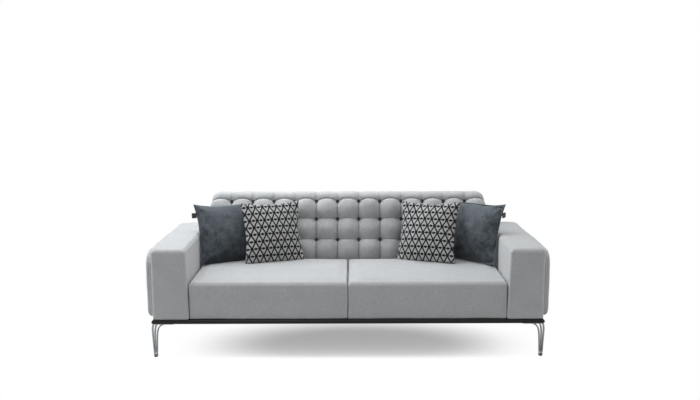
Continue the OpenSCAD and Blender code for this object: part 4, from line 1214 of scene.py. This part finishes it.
dustCover = {
    "half": (1.0935, 0.4095), "cells": (81, 31), "notch": (0.986, 0.286),
    "high": 0.1996, "thick": 0.0006, "sag": 0.006, "widest": 0.5, "ripple": (0.0008, 5, 14, 3),
    "spansX": ((-1.040, -0.967), (-0.907, -0.030), (0.030, 0.907), (0.967, 1.040)),
    "spansY": ((-0.356, 0.211), (0.291, 0.356)),
    "holes": ((1.0285, -0.002), (1.0285, -0.288)), "hole": 0.013,      # for the arm bolts' heads
    "rails": [
        "base_front_rail", "base_rear_rail", "base_left_rail", "base_right_rail", "base_mid_rail",
        "base_cross_rails",
    ],
    "area": 1.7365,      # less its notches and holes
}


def spanBump(value, spans, widest):      # 0 on the rails, more in the middle of a wide opening
    for low, high in spans:
        if low < value < high:
            return puffWave((value - low) / (high - low), 1.2) * min((high - low) / widest, 1)
    return 0


def cutAway(obj, cutter):
    addModifier(obj, "BOOLEAN", object=cutter, operation="DIFFERENCE", solver="EXACT")
    applyModifiers(obj)
    bpy.data.objects.remove(cutter)


def makeDustCover(d):
    clearSelection()
    bpy.ops.mesh.primitive_grid_add(x_subdivisions=d["cells"][0], y_subdivisions=d["cells"][1], size=2)
    cover = bpy.context.object
    cover.name = "dustCoverSheet"
    cover.scale = (*d["half"], 1)
    cover.location.z = d["high"]
    bpy.ops.object.transform_apply(location=True, rotation=True, scale=True)
    deep, across, along, seed = d["ripple"]
    for v in cover.data.vertices:
        x, y = v.co.x, v.co.y
        slack = spanBump(x, d["spansX"], d["widest"]) * spanBump(y, d["spansY"], d["widest"])
        v.co.z -= slack * (d["sag"] + deep * noise.noise(Vector((x * across, y * along, seed))))
    addModifier(cover, "SOLIDIFY", thickness=d["thick"], offset=-1)
    applyModifiers(cover)
    notchX, notchY = d["notch"]
    for sideX in (-1, 1):
        for sideY in (-1, 1):      # each cutter reaches well past the cover
            (x0, x1), (y0, y1) = sorted((sideX * notchX, sideX * 1.2)), sorted((sideY * notchY, sideY * 0.6))
            cutAway(cover, startBox("notch", (x0, y0, 0.15), (x1, y1, 0.25)))
        for x, y in d["holes"]:
            clearSelection()
            bpy.ops.mesh.primitive_cylinder_add(
                vertices=32, radius=d["hole"], depth=0.1, location=(sideX * x, y, d["high"]))
            cutAway(cover, bpy.context.object)
    finishPiece(cover, dustFabric, ["dust_cover"], smooth=40)


makeDustCover(dustCover)
report("dust cover")


# Throw cushions

throwCushions = {
    "half": 0.1950, "thick": 0.118, "drawn": 0.019, "seam": 0.004, "rested": 0.8,
    "front": -0.431, "seat": 0.444, "clearOfSeat": 0.0055,
    "grid": 56, "gridBunch": 0.35, "fall": 0.62, "shy": 0.004, "settle": 0.22, "slump": 0.010, "weld": 0.0002,
    "folds": {"count": 11, "at": 0.075, "wide": 0.045, "deep": 0.0017, "rim": 9},
    "dents": (13, 0.0035),
    "cloth": {"frames": 18, "cap": 0.011, "settings": {
        "uniform_pressure_force": 4.5, "tension_stiffness": 9, "bending_stiffness": 0.15, "quality": 5}},
    "list": {      # key: slack, droop of the upper corner behind its neighbour, then place, turn, tilt, lean
        "plainLeft": (0.8, 0.026, (-0.7575, 0.5400, 0.1855, 26, -0.8, 16)),
        "patternLeft": (0.3, 0, (-0.4740, 0.5560, 0.1840, 22, 1, 20)),
        "patternRight": (0.3, 0, (0.5000, 0.5520, 0.1848, -25, -2, 22)),
        "plainRight": (0.5, -0.042, (0.7850, 0.5080, 0.1965, -44, 1.6, 13)),
    },
}


def cushionMatrix(c, key):
    x, y, z, turn, tilt, back = c["list"][key][2]
    return (Matrix.Translation((x, c["front"] + y, c["seat"] + z))
            @ Matrix.Rotation(math.radians(turn), 4, "Z")
            @ Matrix.Rotation(math.radians(-back), 4, "X")
            @ Matrix.Rotation(math.radians(tilt), 4, "Y"))


def edgeAt(q, c):      # the sides pull in between the corners
    return c["half"] - c["drawn"] * (1 - q * q)


def cushionPoint(u, v, face, slack, droop, c):
    fall = (max(1 - u * u, 0) * max(1 - v * v, 0)) ** c["fall"]
    sag = 1 - slack * c["settle"] * v          # filling settles towards the bottom
    rise = c["seam"] / 2 + (c["thick"] / 2 - c["seam"] / 2 - c["shy"]) * fall * sag
    if abs(u) > 0.999 or abs(v) > 0.999:
        rise = 0
    top = -slack * c["slump"] * (1 - u * u) * max(v, 0) ** 2
    top -= abs(droop) * (max(u * math.copysign(1, droop), 0) * max(v, 0)) ** 2
    top -= c["rested"] * c["drawn"] * (1 - u * u) * max(-v, 0) ** 3      # weight flattens the lower seam
    return u * edgeAt(v, c), face * rise, v * edgeAt(u, c) + top


def cushionForm(c, name, slack, droop):
    n, bunch = c["grid"], c["gridBunch"]
    even = [2 * i / n - 1 for i in range(n + 1)]
    ticks = [math.sin(math.pi / 2 * q) * bunch + q * (1 - bunch) for q in even]
    mesh = bmesh.new()
    sheets = [[[mesh.verts.new(cushionPoint(u, v, face, slack, droop, c)) for u in ticks] for v in ticks]
              for face in (-1, 1)]
    for rows, flip in zip(sheets, (False, True)):
        bridgeRows(mesh, rows, flip)
    bmesh.ops.remove_doubles(mesh, verts=mesh.verts, dist=c["weld"])
    bmesh.ops.recalc_face_normals(mesh, faces=mesh.faces)
    return meshObject(name, mesh)


def cushionUv(obj, half):
    layer = obj.data.uv_layers.new(name="clothUv")
    for loop in obj.data.loops:
        co = obj.data.vertices[loop.vertex_index].co
        layer.data[loop.index].uv = (co.x + half, co.z + half)


def cushionFolds(obj, c, seed):      # soft creases that run in from the corners
    half, folds = c["half"], c["folds"]
    size, deep = c["dents"]

    def shift(co, normal):
        total = 0
        for k, (sx, sz) in enumerate(((-1, -1), (1, -1), (1, 1), (-1, 1))):
            dx, dz = co.x - sx * half, co.z - sz * half
            turn = math.atan2(-dz * sz, -dx * sx)
            wave = math.sin(turn * folds["count"] + seed + k * 2)
            total += wave * bell(math.hypot(dx, dz) - folds["at"], folds["wide"])
        rim = max(min(1, *((1 - abs(q) / half) * folds["rim"] for q in (co.x, co.z))), 0)
        dent = noise.noise(Vector((co.x, co.z, co.y)) * size + Vector((seed, 0, 0))) * deep
        return normal * (total * folds["deep"] + dent) * rim

    moveVertices(obj, shift)


def makeCushion(c, key, name, seed):
    slack, droop = c["list"][key][:2]
    obj = cushionForm(c, name, slack, droop)
    puffWithCloth(obj, c["cloth"], lambda co: abs(co.y) < c["weld"] / 20)
    cushionFolds(obj, c, seed)
    cushionUv(obj, c["half"])
    addModifier(obj, "SUBSURF", levels=1, render_levels=1)
    applyModifiers(obj)
    obj.data.transform(cushionMatrix(c, key))
    for v in obj.data.vertices:
        v.co.z = max(v.co.z, c["seat"] + c["clearOfSeat"])
    obj.data.update()
    return obj


for key, name, side, kind, seed in (
        ("plainLeft", "plainCushionLeft", "left", "plain", 1.0),
        ("patternLeft", "patternCushionLeft", "left", "pattern", 2.0),
        ("patternRight", "patternCushionRight", "right", "pattern", 3.0),
        ("plainRight", "plainCushionRight", "right", "plain", 4.0)):
    cushion = makeCushion(throwCushions, key, name, seed)
    slotName = kind + "_fabric"
    finishPiece(cushion, slotMaterials[slotName], [f"cushion_{kind}_{side}"],
                f"{kind}_cushion_{side}", smooth=80)
    report(name)


# Blank tags, folded in half and sewn into the side seams

sideTags = {
    "wide": 0.029, "tall": 0.032, "thick": 0.0014, "share": 0.62, "into": 0.003, "cuts": 6,
    "fold": 1.1, "wave": (0.0012, 160), "round": 0.0003,
    "list": (      # cushion, name, body, node, side, bend in metres, turn in degrees
        ("plainLeft", "cushionTagLeft", "plain_cushion_left", "cushion_tag_left", -1, 0.006, 5.0),
        ("plainRight", "cushionTagRight", "plain_cushion_right", "cushion_tag_right", 1, -0.008, -20.0),
    ),
}


def makeTag(t, c, key, name, body, node, side, bend, turn):
    up, far = t["share"] * c["half"], side * edgeAt(t["share"], c)
    ends = sorted((far - side * t["into"], far + side * (t["wide"] - t["into"])))
    low = (ends[0], -t["thick"] / 2, up - t["tall"] / 2)
    tag = startBox(name, low, (ends[1], t["thick"] / 2, up + t["tall"] / 2))
    editWhole(tag)
    bpy.ops.mesh.subdivide(number_cuts=t["cuts"])
    bpy.ops.transform.rotate(value=math.radians(-turn), orient_axis="Y", center_override=(far, 0, up))
    leaveEdit()
    deep, count = t["wave"]
    for v in tag.data.vertices:      # the fold bulges and the tag bends
        out = max(side * (v.co.x - far), 0) / t["wide"]
        bulge = 1 + t["fold"] * math.sin(math.pi * min(out, 1)) ** 2
        v.co.y = v.co.y * bulge + bend * out ** 2 + deep * out * math.sin((v.co.z - up) * count)
    addModifier(tag, "BEVEL", width=t["round"], segments=2, limit_method="ANGLE")
    addModifier(tag, "SUBSURF", levels=1, render_levels=1)
    applyModifiers(tag)
    tag.data.transform(cushionMatrix(c, key))
    finishPiece(tag, tagFabric, [node], body, smooth=50)


for row in sideTags["list"]:
    makeTag(sideTags, throwCushions, *row)
report("tags")
